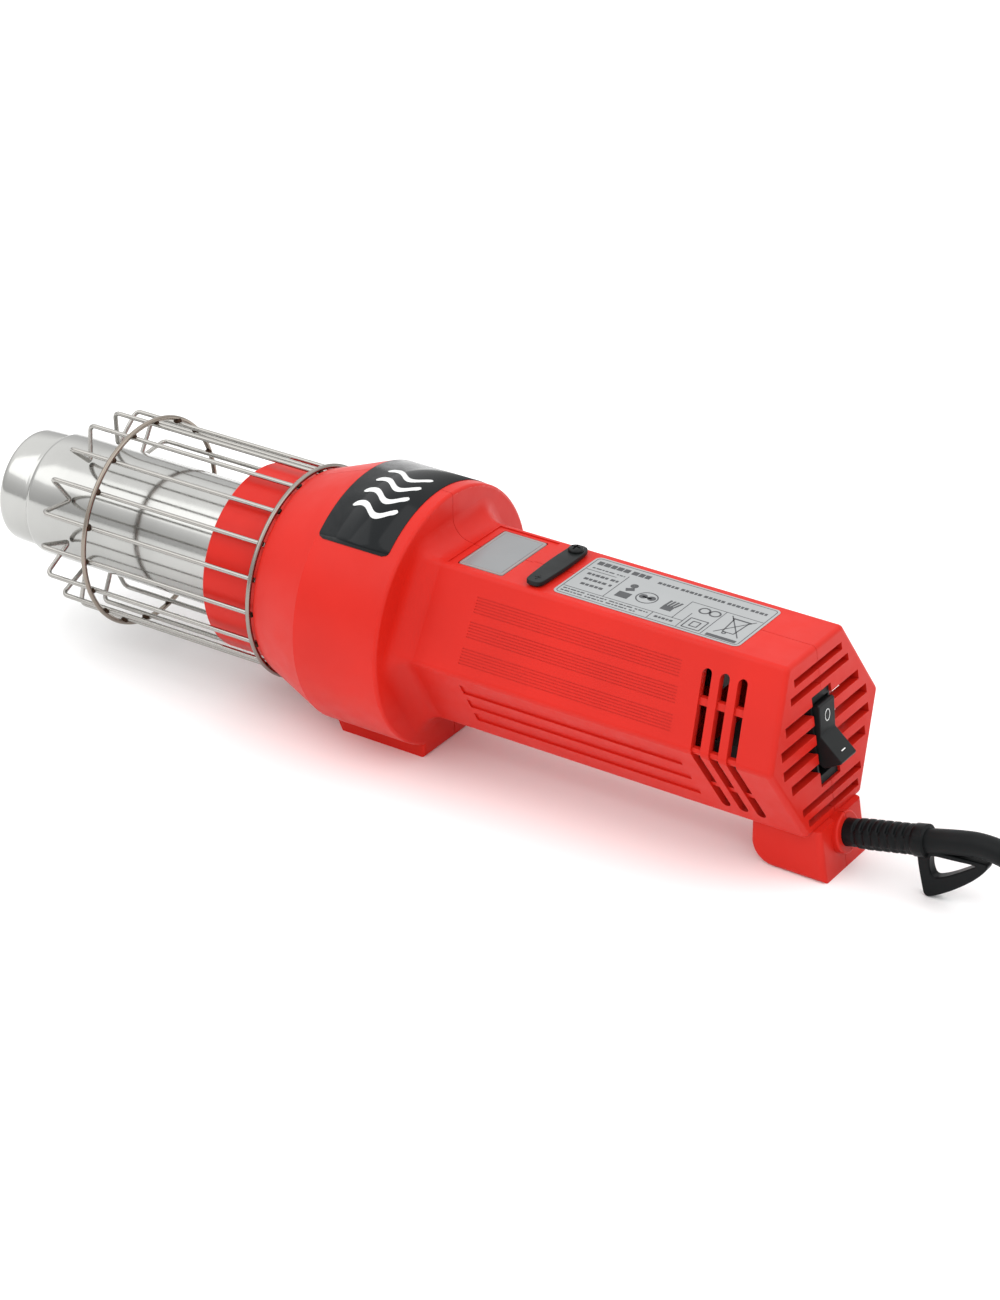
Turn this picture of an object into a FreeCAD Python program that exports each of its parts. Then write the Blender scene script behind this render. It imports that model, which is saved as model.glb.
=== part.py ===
"""Corded heat gun with a wire guard round its nozzle: a parametric FreeCAD document.

Axial frame: +X runs along the barrel from the nozzle's mouth to the switch, the barrel's axis is y = z = 0
and x = 0 is the mouth. Every node is then placed so that the origin is the bottom centre of the tool.
"""
import FreeCAD, Part
import math
import os

from Sketcher import Constraint

Vector = FreeCAD.Vector
Rotation = FreeCAD.Rotation
Placement = FreeCAD.Placement

SIZES = {
    # whole tool
    "overall_length": 368.2, "axis_height": 51.2, "wall": 2.6, "rear_wall": 4.0, "seam": 0.1, "gap": 0.3,
    # handle, a six-sided tube
    "top_half": 19.2, "mid_half": 38.35, "half_height": 32.3, "edge_round": 2.5, "rear_round": 2.0,
    "rear_face": 356.0, "rear_lean": 9.43,
    # drum
    "drum_radius": 50.0, "drum_nose_radius": 40.3, "drum_front": 137.0, "cone_end": 162.8,
    "drum_rear": 199.5, "rim_round": 1.3, "nose_round": 1.8, "cove_round": 8.0,
    # feet
    "front_foot_half": 19.7, "front_foot_start": 162.1, "rear_foot_half": 15.3, "rear_foot_start": 336.0,
    "rear_foot_step": 2.3, "foot_round": 2.2, "heel_round": 9.0,
    # collar and nozzle
    "collar_front": 110.5, "collar_radius": 36.2, "collar_wall": 2.4, "collar_flange": 37.4,
    "tube_radius": 24.4, "mouth_radius": 22.6, "mouth_length": 13.4, "tube_wall": 0.8, "tube_end": 144.0,
    # guard
    "guard_front": 57.8, "guard_rear": 135.5, "guard_ring": 40.8, "ring_wire": 1.0, "rod_circle": 38.95,
    "rod_wire": 0.9, "apex_place": 36.8, "rod_rear": 136.9, "apex_circle": 24.6, "hairpins": 9,
    # heater
    "mica_radius": 23.2, "mica_wall": 0.4, "former_half": 20.4, "former_thick": 1.0, "former_start": 34.0,
    "former_end": 130.0, "winding_radius": 17.5, "winding_wire": 0.9, "winding_turns": 12,
    "shield_radius": 30.0, "shield_wall": 0.6,
    # fan and motor
    "fan_radius": 42.0, "fan_hub": 9.0, "fan_back": 160.0, "fan_plate": 1.6, "fan_depth": 20.0,
    "fan_blades": 14, "blade_thick": 1.4, "shaft_radius": 2.5, "shaft_start": 157.0, "shaft_end": 280.0,
    "bearing_radius": 8.0, "bearing_width": 5.0, "motor_radius": 21.0, "motor_bore": 13.0,
    "motor_start": 208.0, "motor_length": 62.0, "rotor_radius": 12.4, "mount_radius": 29.0,
    "mount_thick": 2.6, "running_gap": 0.05,
    # display, tab and labels
    "window_start": 211.7, "window_length": 19.4, "window_half": 15.5, "lens_depth": 0.2,
    "tab_place": 245.0, "tab_pivot": 11.7, "tab_lift": 0.6, "tab_thick": 1.8, "screw_head": 2.9,
    "screw_shank": 1.5, "adjuster_radius": 2.6, "adjuster_place": -10.5,
    "plate_start": 252.2, "plate_length": 76.3, "plate_half": 15.8, "label_thick": 0.25,
    "badge_start": 163.4, "badge_end": 194.1, "badge_angle": 86.0,
    # switch
    "switch_centre": -1.1, "aperture_half": 6.7, "aperture_long": 17.2, "switch_depth": 22.0,
    "rocker_half": 5.3, "rocker_pivot": 4.0, "rocker_tilt": 18.0,
    # cord
    "relief_x": 363.6, "relief_z": -37.6, "relief_tilt": 12.5, "relief_root": 5.0, "relief_rib": 5.4,
    "relief_length": 35.2, "relief_ring": 6.0, "boss_radius": 7.8, "cord_radius": 4.5,
    "coil_inner": 36.0, "coil_outer": 63.0, "coil_lift": 0.6, "coil_height": 18.0, "tie_thick": 0.5,
    "plug_radius": 18.5, "plug_height": 18.9, "pin_radius": 2.4, "pin_length": 19.0, "pin_spacing": 19.0,
}

doc = FreeCAD.newDocument("heat_gun")
sheet = doc.addObject("Spreadsheet::Sheet", "Sizes")
for row, (alias, number) in enumerate(SIZES.items(), 1):
    sheet.set(f"A{row}", alias)
    sheet.set(f"B{row}", str(number))
    sheet.setAlias(f"B{row}", alias)
doc.recompute()

NODES = []


class Dim:
    """A size: its number and the spreadsheet expression that gives it."""

    def __init__(self, number, text):
        self.number = number
        self.text = text

    def __add__(self, other):
        other = dim(other)
        return Dim(self.number + other.number, f"({self.text} + {other.text})")

    def __sub__(self, other):
        other = dim(other)
        return Dim(self.number - other.number, f"({self.text} - {other.text})")

    def __mul__(self, factor):
        return Dim(self.number * factor, f"({self.text} * {factor})")

    def __neg__(self):
        return self * -1.0


def dim(value):
    """A Dim from a Dim, a sheet alias or a plain number."""
    if isinstance(value, Dim):
        return value
    if isinstance(value, str):
        return Dim(float(sheet.get(value)), f"Sizes.{value}")
    return Dim(float(value), repr(float(value)))


def mm(alias):
    """The number that a sheet cell holds."""
    return float(sheet.get(alias))


START = dim("overall_length") * -0.5
AXIS = dim("axis_height")
ALONG_X = Rotation(Vector(0, 1, 0), 90)
UPRIGHT = Rotation()
AXIAL = Placement(Vector(START.number, 0, AXIS.number), UPRIGHT)


def bind(obj, prop, value):
    value = dim(value)
    obj.setExpression(prop, value.text)


def place(obj, x=0.0, y=0.0, z=0.0, turn=UPRIGHT):
    """Put an object at an axial-frame point, with the point bound to the sheet."""
    spot = [START + dim(x), dim(y), AXIS + dim(z)]
    obj.Placement = Placement(Vector(*[value.number for value in spot]), turn)
    for axis, value in zip("xyz", spot):
        bind(obj, f"Placement.Base.{axis}", value)
    return obj


def node(obj, label):
    obj.Label = label
    NODES.append(obj)
    return obj


def primitive(kind, name, **sizes):
    obj = doc.addObject(kind, name)
    for prop, value in sizes.items():
        bind(obj, prop, value)
    return obj


def rod(name, radius, length, x, y=0.0, z=0.0, turn=ALONG_X):
    return place(primitive("Part::Cylinder", name, Radius=radius, Height=length), x, y, z, turn)


def block(name, length, width, height, x, y, z, turn=UPRIGHT):
    return place(primitive("Part::Box", name, Length=length, Width=width, Height=height), x, y, z, turn)


def cut(name, base, tool):
    obj = doc.addObject("Part::Cut", name)
    obj.Base, obj.Tool = base, tool
    return obj


def fuse(name, pieces):
    obj = doc.addObject("Part::MultiFuse", name)
    obj.Shapes = pieces
    return obj


def feature(label, shape, placement=AXIAL):
    obj = doc.addObject("Part::Feature", label)
    obj.Shape = shape
    obj.Placement = placement
    return node(obj, label)


def new_sketch(body, name, role):
    sketch = body.newObject("Sketcher::SketchObject", name)
    plane = next(item for item in body.Origin.OriginFeatures if item.Role == role)
    sketch.AttachmentSupport = [(plane, "")]
    sketch.MapMode = "FlatFace"
    return sketch


def bound_outline(sketch, points):
    """A closed polygon whose corners are all bound to the sheet."""
    corners = [(dim(x), dim(y)) for x, y in points]
    count = len(corners)
    first = sketch.GeometryCount
    for index in range(count):
        a, b = corners[index], corners[(index + 1) % count]
        sketch.addGeometry(Part.LineSegment(Vector(a[0].number, a[1].number, 0),
                                            Vector(b[0].number, b[1].number, 0)), False)
    for index in range(count):
        after = first + (index + 1) % count
        sketch.addConstraint(Constraint("Coincident", first + index, 2, after, 1))
    for index, corner in enumerate(corners):
        for kind, axis, value in (("DistanceX", -2, corner[0]), ("DistanceY", -1, corner[1])):
            if abs(value.number) < 1e-9:
                sketch.addConstraint(Constraint("PointOnObject", first + index, 1, axis))
            else:
                at = sketch.addConstraint(Constraint(kind, -1, 1, first + index, 1, value.number))
                sketch.setExpression(f"Constraints[{at}]", value.text)


def turned(label, points, angle=360.0):
    """A PartDesign body turned about the barrel axis from (x, radius) corners."""
    body = doc.addObject("PartDesign::Body", label)
    sketch = new_sketch(body, f"{label}_profile", "XZ_Plane")
    bound_outline(sketch, points)
    turn = body.newObject("PartDesign::Revolution", f"{label}_turn")
    turn.Profile = (sketch, [""])
    turn.ReferenceAxis = (sketch, ["H_Axis"])
    bind(turn, "Angle", angle)
    body.Tip = turn
    place(body)
    return node(body, label)


def drilled_disc(label, x, radius, bore, thickness, hole_radius, hole_circle, holes):
    """A PartDesign disc on the barrel axis with a ring of holes made by a polar pattern."""
    body = doc.addObject("PartDesign::Body", label)
    disc = new_sketch(body, f"{label}_disc", "YZ_Plane")
    for ring in (radius, bore):
        at = disc.addGeometry(Part.Circle(Vector(), Vector(0, 0, 1), dim(ring).number), False)
        disc.addConstraint(Constraint("Coincident", at, 3, -1, 1))
        named = disc.addConstraint(Constraint("Radius", at, dim(ring).number))
        disc.setExpression(f"Constraints[{named}]", dim(ring).text)
    pad = body.newObject("PartDesign::Pad", f"{label}_pad")
    pad.Profile = (disc, [""])
    bind(pad, "Length", thickness)
    doc.recompute()
    solid = pad.Shape.Volume
    drill = new_sketch(body, f"{label}_hole", "YZ_Plane")
    at = drill.addGeometry(Part.Circle(Vector(hole_circle, 0, 0), Vector(0, 0, 1), hole_radius), False)
    drill.addConstraint(Constraint("PointOnObject", at, 3, -1))
    drill.addConstraint(Constraint("DistanceX", -1, 1, at, 3, hole_circle))
    drill.addConstraint(Constraint("Radius", at, hole_radius))
    pocket = body.newObject("PartDesign::Pocket", f"{label}_pocket")
    pocket.Profile = (drill, [""])
    pocket.Type = 1
    pocket.Reversed = True
    pattern = body.newObject("PartDesign::PolarPattern", f"{label}_pattern")
    pattern.Originals = [pocket]
    pattern.Axis = (disc, ["N_Axis"])
    pattern.Angle = 360
    pattern.Occurrences = holes
    body.Tip = pattern
    doc.recompute()
    expected = holes * math.pi * hole_radius ** 2 * dim(thickness).number
    assert abs(solid - body.Shape.Volume - expected) < 0.01 * expected, f"{label}: the holes are not cut"
    place(body, x)
    return node(body, label)


# ---- shared geometry helpers for the shaped pieces ---------------------------------------------------

def polygon_face(points):
    return Part.Face(Part.makePolygon(list(points) + [points[0]]))


def lathe(points):
    """A solid turned about the barrel axis from (x, radius) pairs."""
    return polygon_face([Vector(x, 0, r) for x, r in points]).revolve(Vector(), Vector(1, 0, 0), 360)


def rounded_path(points, radii):
    """Straight runs through the points, joined by tangent arcs of the radii, as one wire."""
    edges = []
    start = points[0]
    for index in range(1, len(points) - 1):
        before = (points[index - 1] - points[index]).normalize()
        after = (points[index + 1] - points[index]).normalize()
        half_turn = (math.pi - before.getAngle(after)) / 2
        reach = radii[index - 1] * math.tan(half_turn)
        first = points[index] + before * reach
        last = points[index] + after * reach
        inward = (before + after).normalize()
        centre = points[index] + inward * (radii[index - 1] / math.cos(half_turn))
        middle = centre - inward * radii[index - 1]
        edges.append(Part.LineSegment(start, first).toShape())
        edges.append(Part.Arc(first, middle, last).toShape())
        start = last
    edges.append(Part.LineSegment(start, points[-1]).toShape())
    return Part.Wire(edges)


def tube_along(wire, radius):
    """A round solid bar along a wire."""
    edge = wire.Edges[0]
    start = edge.valueAt(edge.FirstParameter)
    direction = edge.tangentAt(edge.FirstParameter)
    profile = Part.Wire(Part.Circle(start, direction, radius).toShape())
    shape = wire.makePipeShell([profile], True, False)
    bar = Part.Solid(shape) if shape.ShapeType != "Solid" else shape
    expected = math.pi * radius ** 2 * wire.Length
    assert abs(abs(bar.Volume) - expected) < 0.02 * expected, "a swept bar has the wrong volume"
    return bar


LEAN = math.radians(mm("rear_lean"))
FACE_TURN = Rotation(Vector(0, 1, 0), -mm("rear_lean"))


def rear_frame(depth=0.0, along=0.0):
    """Placement of the rear face's own frame: x out of the face, y across, z up along the face."""
    spot = Vector(mm("rear_face"), 0, 0) + FACE_TURN.multVec(Vector(depth, 0, along))
    return Placement(spot, FACE_TURN)


def rear_block(depth, half_width, low, high, shift=0.0):
    """A block in the rear face's frame: depth is (inner, outer), low and high run up the face."""
    shape = Part.makeBox(depth[1] - depth[0], 2 * half_width, high - low, Vector(depth[0], shift - half_width, low))
    shape.Placement = rear_frame()
    return shape


# ---- housing ------------------------------------------------------------------------------------------

def handle_prism(start, end, inset=0.0, lean_inset=None):
    """The six-sided handle bar, with its walls inset and, if asked, cut by the leaning rear plane."""
    k = (mm("half_height") - inset) / mm("half_height")
    half = [(mm("top_half"), mm("half_height")), (mm("mid_half"), 0.0), (mm("top_half"), -mm("half_height"))]
    ring = half + [(-y, z) for y, z in reversed(half)]
    bar = polygon_face([Vector(start, y * k, z * k) for y, z in ring]).extrude(Vector(end - start, 0, 0))
    if lean_inset is None:
        return bar
    beyond = Part.makeBox(100, 200, 300, Vector(-lean_inset, -100, -150))
    beyond.Placement = rear_frame()
    return bar.cut(beyond)


def runs_lengthwise(edge):
    a, b = edge.Vertexes[0].Point, edge.Vertexes[-1].Point
    return abs(a.y - b.y) < 1e-6 and abs(a.z - b.z) < 1e-6


def flat_at(edge, x):
    box = edge.BoundBox
    return abs(box.XMin - x) < 1e-3 and abs(box.XMax - x) < 1e-3


def housing_outside():
    """The closed outer shape of the two shells together."""
    handle = handle_prism(mm("drum_front") + 50, mm("rear_face") + 20, 0.0, 0.0)
    handle = handle.makeFillet(mm("edge_round"), [e for e in handle.Edges if runs_lengthwise(e)])
    rear_edges = [e for e in handle.Edges if e.BoundBox.XMin > mm("rear_face") - 12]
    handle = handle.makeFillet(mm("rear_round"), rear_edges)
    front, rear, radius = mm("drum_front"), mm("drum_rear"), mm("drum_radius")
    nose = mm("drum_nose_radius")
    drum = lathe([(front, 0), (front, nose), (mm("cone_end"), radius), (rear, radius), (rear, 0)])
    floor = -mm("axis_height")
    toe = mm("front_foot_start")
    outline = [(toe - 2.7, floor + 6.2), (toe - 2.2, floor + 4.7), (toe, floor), (rear, floor),
               (rear, -30), (toe + 3, -30)]
    half = mm("front_foot_half")
    foot = polygon_face([Vector(x, -half, z) for x, z in outline]).extrude(Vector(0, 2 * half, 0))
    front_part = drum.fuse(foot).removeSplitter()
    rim = [e for e in front_part.Edges if flat_at(e, rear)]
    front_part = front_part.makeFillet(mm("rim_round"), rim)
    lip = [e for e in front_part.Edges if flat_at(e, front)]
    front_part = front_part.makeFillet(mm("nose_round"), lip)
    body = front_part.fuse(handle).removeSplitter()
    root = [e for e in body.Edges if flat_at(e, rear) and abs(e.BoundBox.YMax) < 38.6
            and abs(e.BoundBox.YMin) < 38.6 and abs(e.BoundBox.ZMin) < 32.6 and abs(e.BoundBox.ZMax) < 32.6]
    body = body.makeFillet(mm("cove_round"), root)
    return body.fuse(rear_foot_block(0.0)).fuse(cord_boss()).removeSplitter()


def rear_foot_block(inset):
    """The rear foot, rounded at its heel, or its hollow when inset."""
    half = mm("rear_foot_half") - inset
    start, end = mm("rear_foot_start") + inset, mm("overall_length") + 10
    floor, top = -mm("axis_height") + inset, -mm("half_height") + (1.2 if not inset else 3.0)
    block_shape = Part.makeBox(end - start, 2 * half, top - floor, Vector(start, -half, floor))
    beyond = Part.makeBox(60, 200, 300, Vector(mm("rear_foot_step") * math.cos(LEAN) - inset, -100, -150))
    beyond.Placement = rear_frame()
    block_shape = block_shape.cut(beyond)
    if inset:
        return block_shape
    heel = [e for e in block_shape.Edges if e.BoundBox.XMax < start + 0.01 and e.BoundBox.ZMax < floor + 0.01]
    block_shape = block_shape.makeFillet(mm("heel_round"), heel)
    sides = [e for e in block_shape.Edges if e.BoundBox.YMax - e.BoundBox.YMin < 1e-6
             and e.BoundBox.ZMax > floor + 5 and e.BoundBox.ZMin < top - 1]
    return block_shape.makeFillet(mm("foot_round"), sides)


def relief_frame(distance):
    """Placement on the strain relief's axis, its z along the axis, a distance out of the boss."""
    turn = Rotation(Vector(0, 1, 0), 90 - mm("relief_tilt"))
    root = Vector(mm("relief_x"), 0, mm("relief_z"))
    return Placement(root + turn.multVec(Vector(0, 0, distance)), turn)


def relief_cylinder(radius, start, end, top_radius=None):
    if top_radius is None:
        shape = Part.makeCylinder(radius, end - start)
    else:
        shape = Part.makeCone(radius, top_radius, end - start)
    shape.Placement = relief_frame(start)
    return shape


def cord_boss():
    boss = relief_cylinder(mm("boss_radius"), -6.0, 3.3)
    rim = [e for e in boss.Edges if e.Curve.__class__.__name__ == "Circle" and e.BoundBox.XMax > mm("relief_x") + 2]
    return boss.makeFillet(0.8, rim[:1])


def housing_hollow():
    wall = mm("wall")
    front, rear = mm("drum_front") + 2.8, mm("drum_rear") - 3.0
    drum = lathe([(front, 0), (front, 38.2), (mm("cone_end"), mm("drum_radius") - wall),
                  (rear, mm("drum_radius") - wall), (rear, 0)])
    handle = handle_prism(rear - 8, mm("rear_face") + 20, wall, mm("rear_wall"))
    return drum.fuse(handle).fuse(rear_foot_block(wall))


SCREW_POSTS = [(191.0, -45.6, 19.0), (191.0, 43.6, 20.0), (219.0, -25.4, 23.2), (291.0, -25.4, 23.2),
               (346.0, 20.6, 26.0), (345.0, -42.4, 15.0)]
POST_RADIUS = 3.6


def side_bar(x_range, height, width, depth, side, inset=0.0):
    """A bar sunk into one side face of the handle at a height, running lengthwise."""
    slope = (mm("mid_half") - mm("top_half")) / mm("half_height")
    upward = 1 if height > 0 else -1
    along = Vector(0, -side * slope, upward).normalize()
    out = Vector(0, side * 1.0, upward * slope).normalize()
    middle = Vector(x_range[0], side * (mm("mid_half") - slope * abs(height)), height)
    corners = [middle + along * (a * width / 2) + out * b
               for a, b in ((-1, 0.5), (1, 0.5), (1, -depth), (-1, -depth))]
    return polygon_face(corners).extrude(Vector(x_range[1] - x_range[0], 0, 0))


LEAN_SLOPE = math.tan(LEAN)
GRIP_START = 225.9
GRIP_END = 315.1
UPPER_BANDS = (23.0, 15.1, 6.7)
LOWER_BANDS = ((-7.4, 5.6), (-15.2, 5.2), (-22.9, 4.8))
RIDGES_PER_BAND = 6
RIDGE_PITCH = 0.94


def grip_cuts(side):
    """Fine grooves on the upper side face and three sunk panels on the lower one."""
    cuts = []
    for band in UPPER_BANDS:
        for ridge in range(RIDGES_PER_BAND):
            height = band + (ridge - (RIDGES_PER_BAND - 1) / 2) * RIDGE_PITCH
            end = GRIP_END - LEAN_SLOPE * height
            cuts.append(side_bar((GRIP_START, end), height, 0.4, 0.22, side))
    for height, width in LOWER_BANDS:
        cuts.append(side_bar((GRIP_START, GRIP_END + 1.5 - LEAN_SLOPE * height), height, width, 0.7, side))
    return cuts


VENT_START = 325.8
VENT_PITCH = 7.1
VENT_HALF = 1.9
VENT_LOW = -25.4
VENT_HIGH = 23.6
VENT_RIBS = (15.0, 0.0, -16.6)


def vent_slot(index, side):
    """One leaning slot through the side wall, with round ends."""
    low, high = VENT_LOW, VENT_HIGH
    middle = VENT_START + index * VENT_PITCH
    near, far = (12.0, 46.0) if side > 0 else (-46.0, -12.0)

    def edge_x(height, offset):
        return middle - 1.05 * LEAN_SLOPE * height + offset

    corners = [Vector(edge_x(z, o), near, z)
               for z, o in ((low, -VENT_HALF), (low, VENT_HALF), (high, VENT_HALF), (high, -VENT_HALF))]
    slot = polygon_face(corners).extrude(Vector(0, far - near, 0))
    for z in (low, high):
        end = Part.makeCylinder(VENT_HALF, far - near, Vector(edge_x(z, 0), near, z), Vector(0, 1, 0))
        slot = slot.fuse(end)
    return slot


LONG_SLOTS = ((25.8, 16.7), (20.2, 20.2), (-22.0, 20.6), (-27.4, 17.6))
SHORT_SLOTS = ((11.0, 25.6), (3.7, 30.0), (-3.6, 30.0), (-10.9, 26.0))


def rear_openings():
    """Air slots and the switch aperture in the rear wall."""
    depth = (-mm("rear_wall") - 3, 3)
    cuts = [rear_block(depth, half, t - 1.4, t + 1.4) for t, half in LONG_SLOTS]
    for t, reach in SHORT_SLOTS:
        cuts.append(rear_block(depth, reach, t - 1.8, t + 1.8))
    centre = mm("switch_centre")
    half, tall = mm("aperture_half"), mm("aperture_long")
    cuts.append(rear_block(depth, half, centre - tall, centre + tall))
    return cuts


def top_openings():
    """The window well, the tab's screw hole and the adjuster's hole."""
    top = mm("half_height")
    well = Part.makeBox(mm("window_length"), 2 * mm("window_half"), 12,
                        Vector(mm("window_start"), -mm("window_half"), top - 6))
    corners = [e for e in well.Edges if e.BoundBox.ZMax - e.BoundBox.ZMin > 11]
    well = well.makeFillet(0.9, corners)
    sunk = Part.makeBox(26.0, 2 * 17.2, 2, Vector(208.8, -17.2, top - 0.45))
    screw = Part.makeCylinder(mm("screw_shank") + 0.02, 12, Vector(mm("tab_place"), mm("tab_pivot"), top - 6))
    trimmer = Part.makeCylinder(mm("adjuster_radius") + 0.35, 12,
                                Vector(mm("tab_place"), mm("adjuster_place"), top - 6))
    return [well, sunk, screw, trimmer]


def housing_shells():
    """Both shells: the outside less the hollow, with posts, vents and openings, parted down the middle."""
    outside = housing_outside()
    shell = outside.cut(housing_hollow())
    posts = [Part.makeCylinder(POST_RADIUS, 2 * reach, Vector(x, -reach, z), Vector(0, 1, 0)).common(outside)
             for x, z, reach in SCREW_POSTS]
    shell = shell.multiFuse(posts)
    nose = Part.makeCylinder(mm("collar_radius") + mm("gap"), 20, Vector(mm("drum_front") - 5, 0, 0), Vector(1, 0, 0))
    gland = relief_cylinder(mm("relief_root") + 0.15, -14.0, 6.0)
    cuts = [nose, gland] + rear_openings() + top_openings()
    for x, z, reach in SCREW_POSTS:
        cuts.append(Part.makeCylinder(1.45, 40, Vector(x, -10, z), Vector(0, 1, 0)))
        cuts.append(Part.makeCylinder(3.1, 30, Vector(x, reach - 4.5, z), Vector(0, 1, 0)))
    slots = []
    for side in (-1, 1):
        cuts += grip_cuts(side)
        slots += [vent_slot(index, side) for index in range(3)]
    bars = handle_prism(300, 350, 1.0).cut(handle_prism(299, 351, mm("wall")))
    ribs = [slot.common(Part.makeBox(60, 100, 2.2, Vector(300, -50, z - 1.1))).common(bars)
            for slot in slots for z in VENT_RIBS]
    shell = shell.cut(cuts + slots).multiFuse(ribs)
    reach = 400.0
    left = shell.common(Part.makeBox(reach, 100, 200, Vector(100, -100 - mm("seam"), -100)))
    right = shell.common(Part.makeBox(reach, 100, 200, Vector(100, mm("seam"), -100)))
    return left, right


left_shell, right_shell = housing_shells()
feature("housing_left", left_shell)
feature("housing_right", right_shell)

# ---- collar, nozzle and guard -----------------------------------------------------------------------

collar_in = dim("collar_radius") - dim("collar_wall")
turned("front_collar", [
    ("collar_front", dim("tube_radius") + "gap"), ("collar_front", dim("collar_radius") - 0.8),
    (dim("collar_front") + 0.8, "collar_radius"), (dim("drum_front") + 3.1, "collar_radius"),
    (dim("drum_front") + 3.1, "collar_flange"), (dim("drum_front") + 4.6, "collar_flange"),
    (dim("drum_front") + 4.6, collar_in), (dim("collar_front") + 2.4, collar_in),
    (dim("collar_front") + 2.4, dim("tube_radius") + "gap")])

thin = dim("tube_wall")
mouth, step, main = dim("mouth_radius"), dim("mouth_length"), dim("tube_radius")
turned("nozzle_tube", [
    (0.5, mouth - 2.0), (0, mouth - 1.2), (0.7, mouth - 0.5), (2.2, mouth), (step - 0.6, mouth),
    (step + 0.2, mouth - 0.5), (step + 1.0, mouth + 0.1), (step + 2.0, main - 0.3), (step + 3.2, main),
    ("tube_end", main), ("tube_end", main - thin), (step + 3.4, main - thin),
    (step + 2.5, main - thin - 0.3), (step + 1.2, mouth - thin), (step + 0.2, mouth - thin - 0.5),
    (step - 0.8, mouth - thin), (2.4, mouth - thin), (1.3, mouth - thin - 0.5)])

for which in ("front", "rear"):
    ring = primitive("Part::Torus", f"guard_{which}_ring", Radius1="guard_ring", Radius2="ring_wire")
    node(place(ring, f"guard_{which}", turn=ALONG_X), f"guard_{which}_ring")


FIRST_HAIRPIN = 31.5
HAIRPIN_FRONTS = (36.8, 38.0, 36.7, 35.2, 34.8, 36.0, 36.8, 37.2, 36.8)


def hairpin(angle, front):
    """One hand-bent guard wire: out along the cage to its front, in to the nozzle, and back further round."""
    def on_circle(x, radius, degrees):
        a = math.radians(degrees)
        return Vector(x, radius * math.cos(a), radius * math.sin(a))

    half_step = 90.0 / mm("hairpins")
    rear, circle = mm("rod_rear"), mm("rod_circle")
    points = [on_circle(rear, circle, angle - half_step), on_circle(front, circle, angle - half_step),
              on_circle(mm("apex_place"), mm("apex_circle"), angle), on_circle(front, circle, angle + half_step),
              on_circle(rear, circle, angle + half_step)]
    return tube_along(rounded_path(points, [2.2, 1.0, 2.2]), mm("rod_wire"))


for index, front in enumerate(HAIRPIN_FRONTS):
    feature(f"guard_wire_{index + 1}", hairpin(FIRST_HAIRPIN + index * 360.0 / mm("hairpins"), front))

# ---- heater --------------------------------------------------------------------------------------------

turned("heat_shield", [
    (dim("collar_front") + 3.0, "shield_radius"), (dim("drum_front") + 4.0, "shield_radius"),
    (dim("drum_front") + 4.0, dim("shield_radius") + "shield_wall"),
    (dim("collar_front") + 3.0, dim("shield_radius") + "shield_wall")])
turned("heater_flange", [
    (dim("drum_front") + 4.9, dim("tube_radius") + 0.05), (dim("drum_front") + 4.9, 37.4),
    (dim("drum_front") + 6.1, 37.4), (dim("drum_front") + 6.1, dim("tube_radius") + 0.05)])
turned("mica_sleeve", [
    (30, dim("mica_radius") - "mica_wall"), (30, "mica_radius"), (138, "mica_radius"),
    (138, dim("mica_radius") - "mica_wall")])

former_length = dim("former_end") - dim("former_start")
fins = [block("former_upright", former_length, "former_thick", dim("former_half") * 2, "former_start",
              dim("former_thick") * -0.5, -dim("former_half")),
        block("former_level", former_length, dim("former_half") * 2, "former_thick", "former_start",
              -dim("former_half"), dim("former_thick") * -0.5)]
node(fuse("former_cross", fins), "heater_former")

turns = int(mm("winding_turns"))
pitch = (mm("former_end") - mm("former_start") - 12) / (turns - 1)
winding = [Part.makeTorus(mm("winding_radius"), mm("winding_wire"),
                          Vector(mm("former_start") + 6 + pitch * turn, 0, 0), Vector(1, 0, 0))
           for turn in range(turns)]
for side in (-1, 1):
    start = Vector(mm("former_start") + 6, side * mm("winding_radius") * math.sqrt(0.5),
                   mm("winding_radius") * math.sqrt(0.5))
    lead = 1.6 * mm("winding_wire")
    winding.append(Part.makeCylinder(lead, pitch * (turns - 1) + 18, start, Vector(1, 0, 0)))
feature("heating_coil", winding[0].multiFuse(winding[1:]))

node(rod("thermal_cutout", 4.0, 4.2, dim("drum_front") + 6.4, 0.0, 31.0), "thermal_cutout")

# ---- fan and motor ---------------------------------------------------------------------------------------

guide_back = rod("guide_disc", 20.0, 1.6, 150.0)
vanes = []
for index in range(9):
    vane = primitive("Part::Box", f"guide_vane_{index}", Length=8.0, Width=1.4, Height=23.4)
    turn = Rotation(Vector(1, 0, 0), index * 40.0)
    offset = turn.multVec(Vector(0, -0.7, 18.0))
    vanes.append(place(vane, 148.0, offset.y, offset.z, turn))
node(fuse("guide_whole", [guide_back] + vanes), "air_guide")


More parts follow.
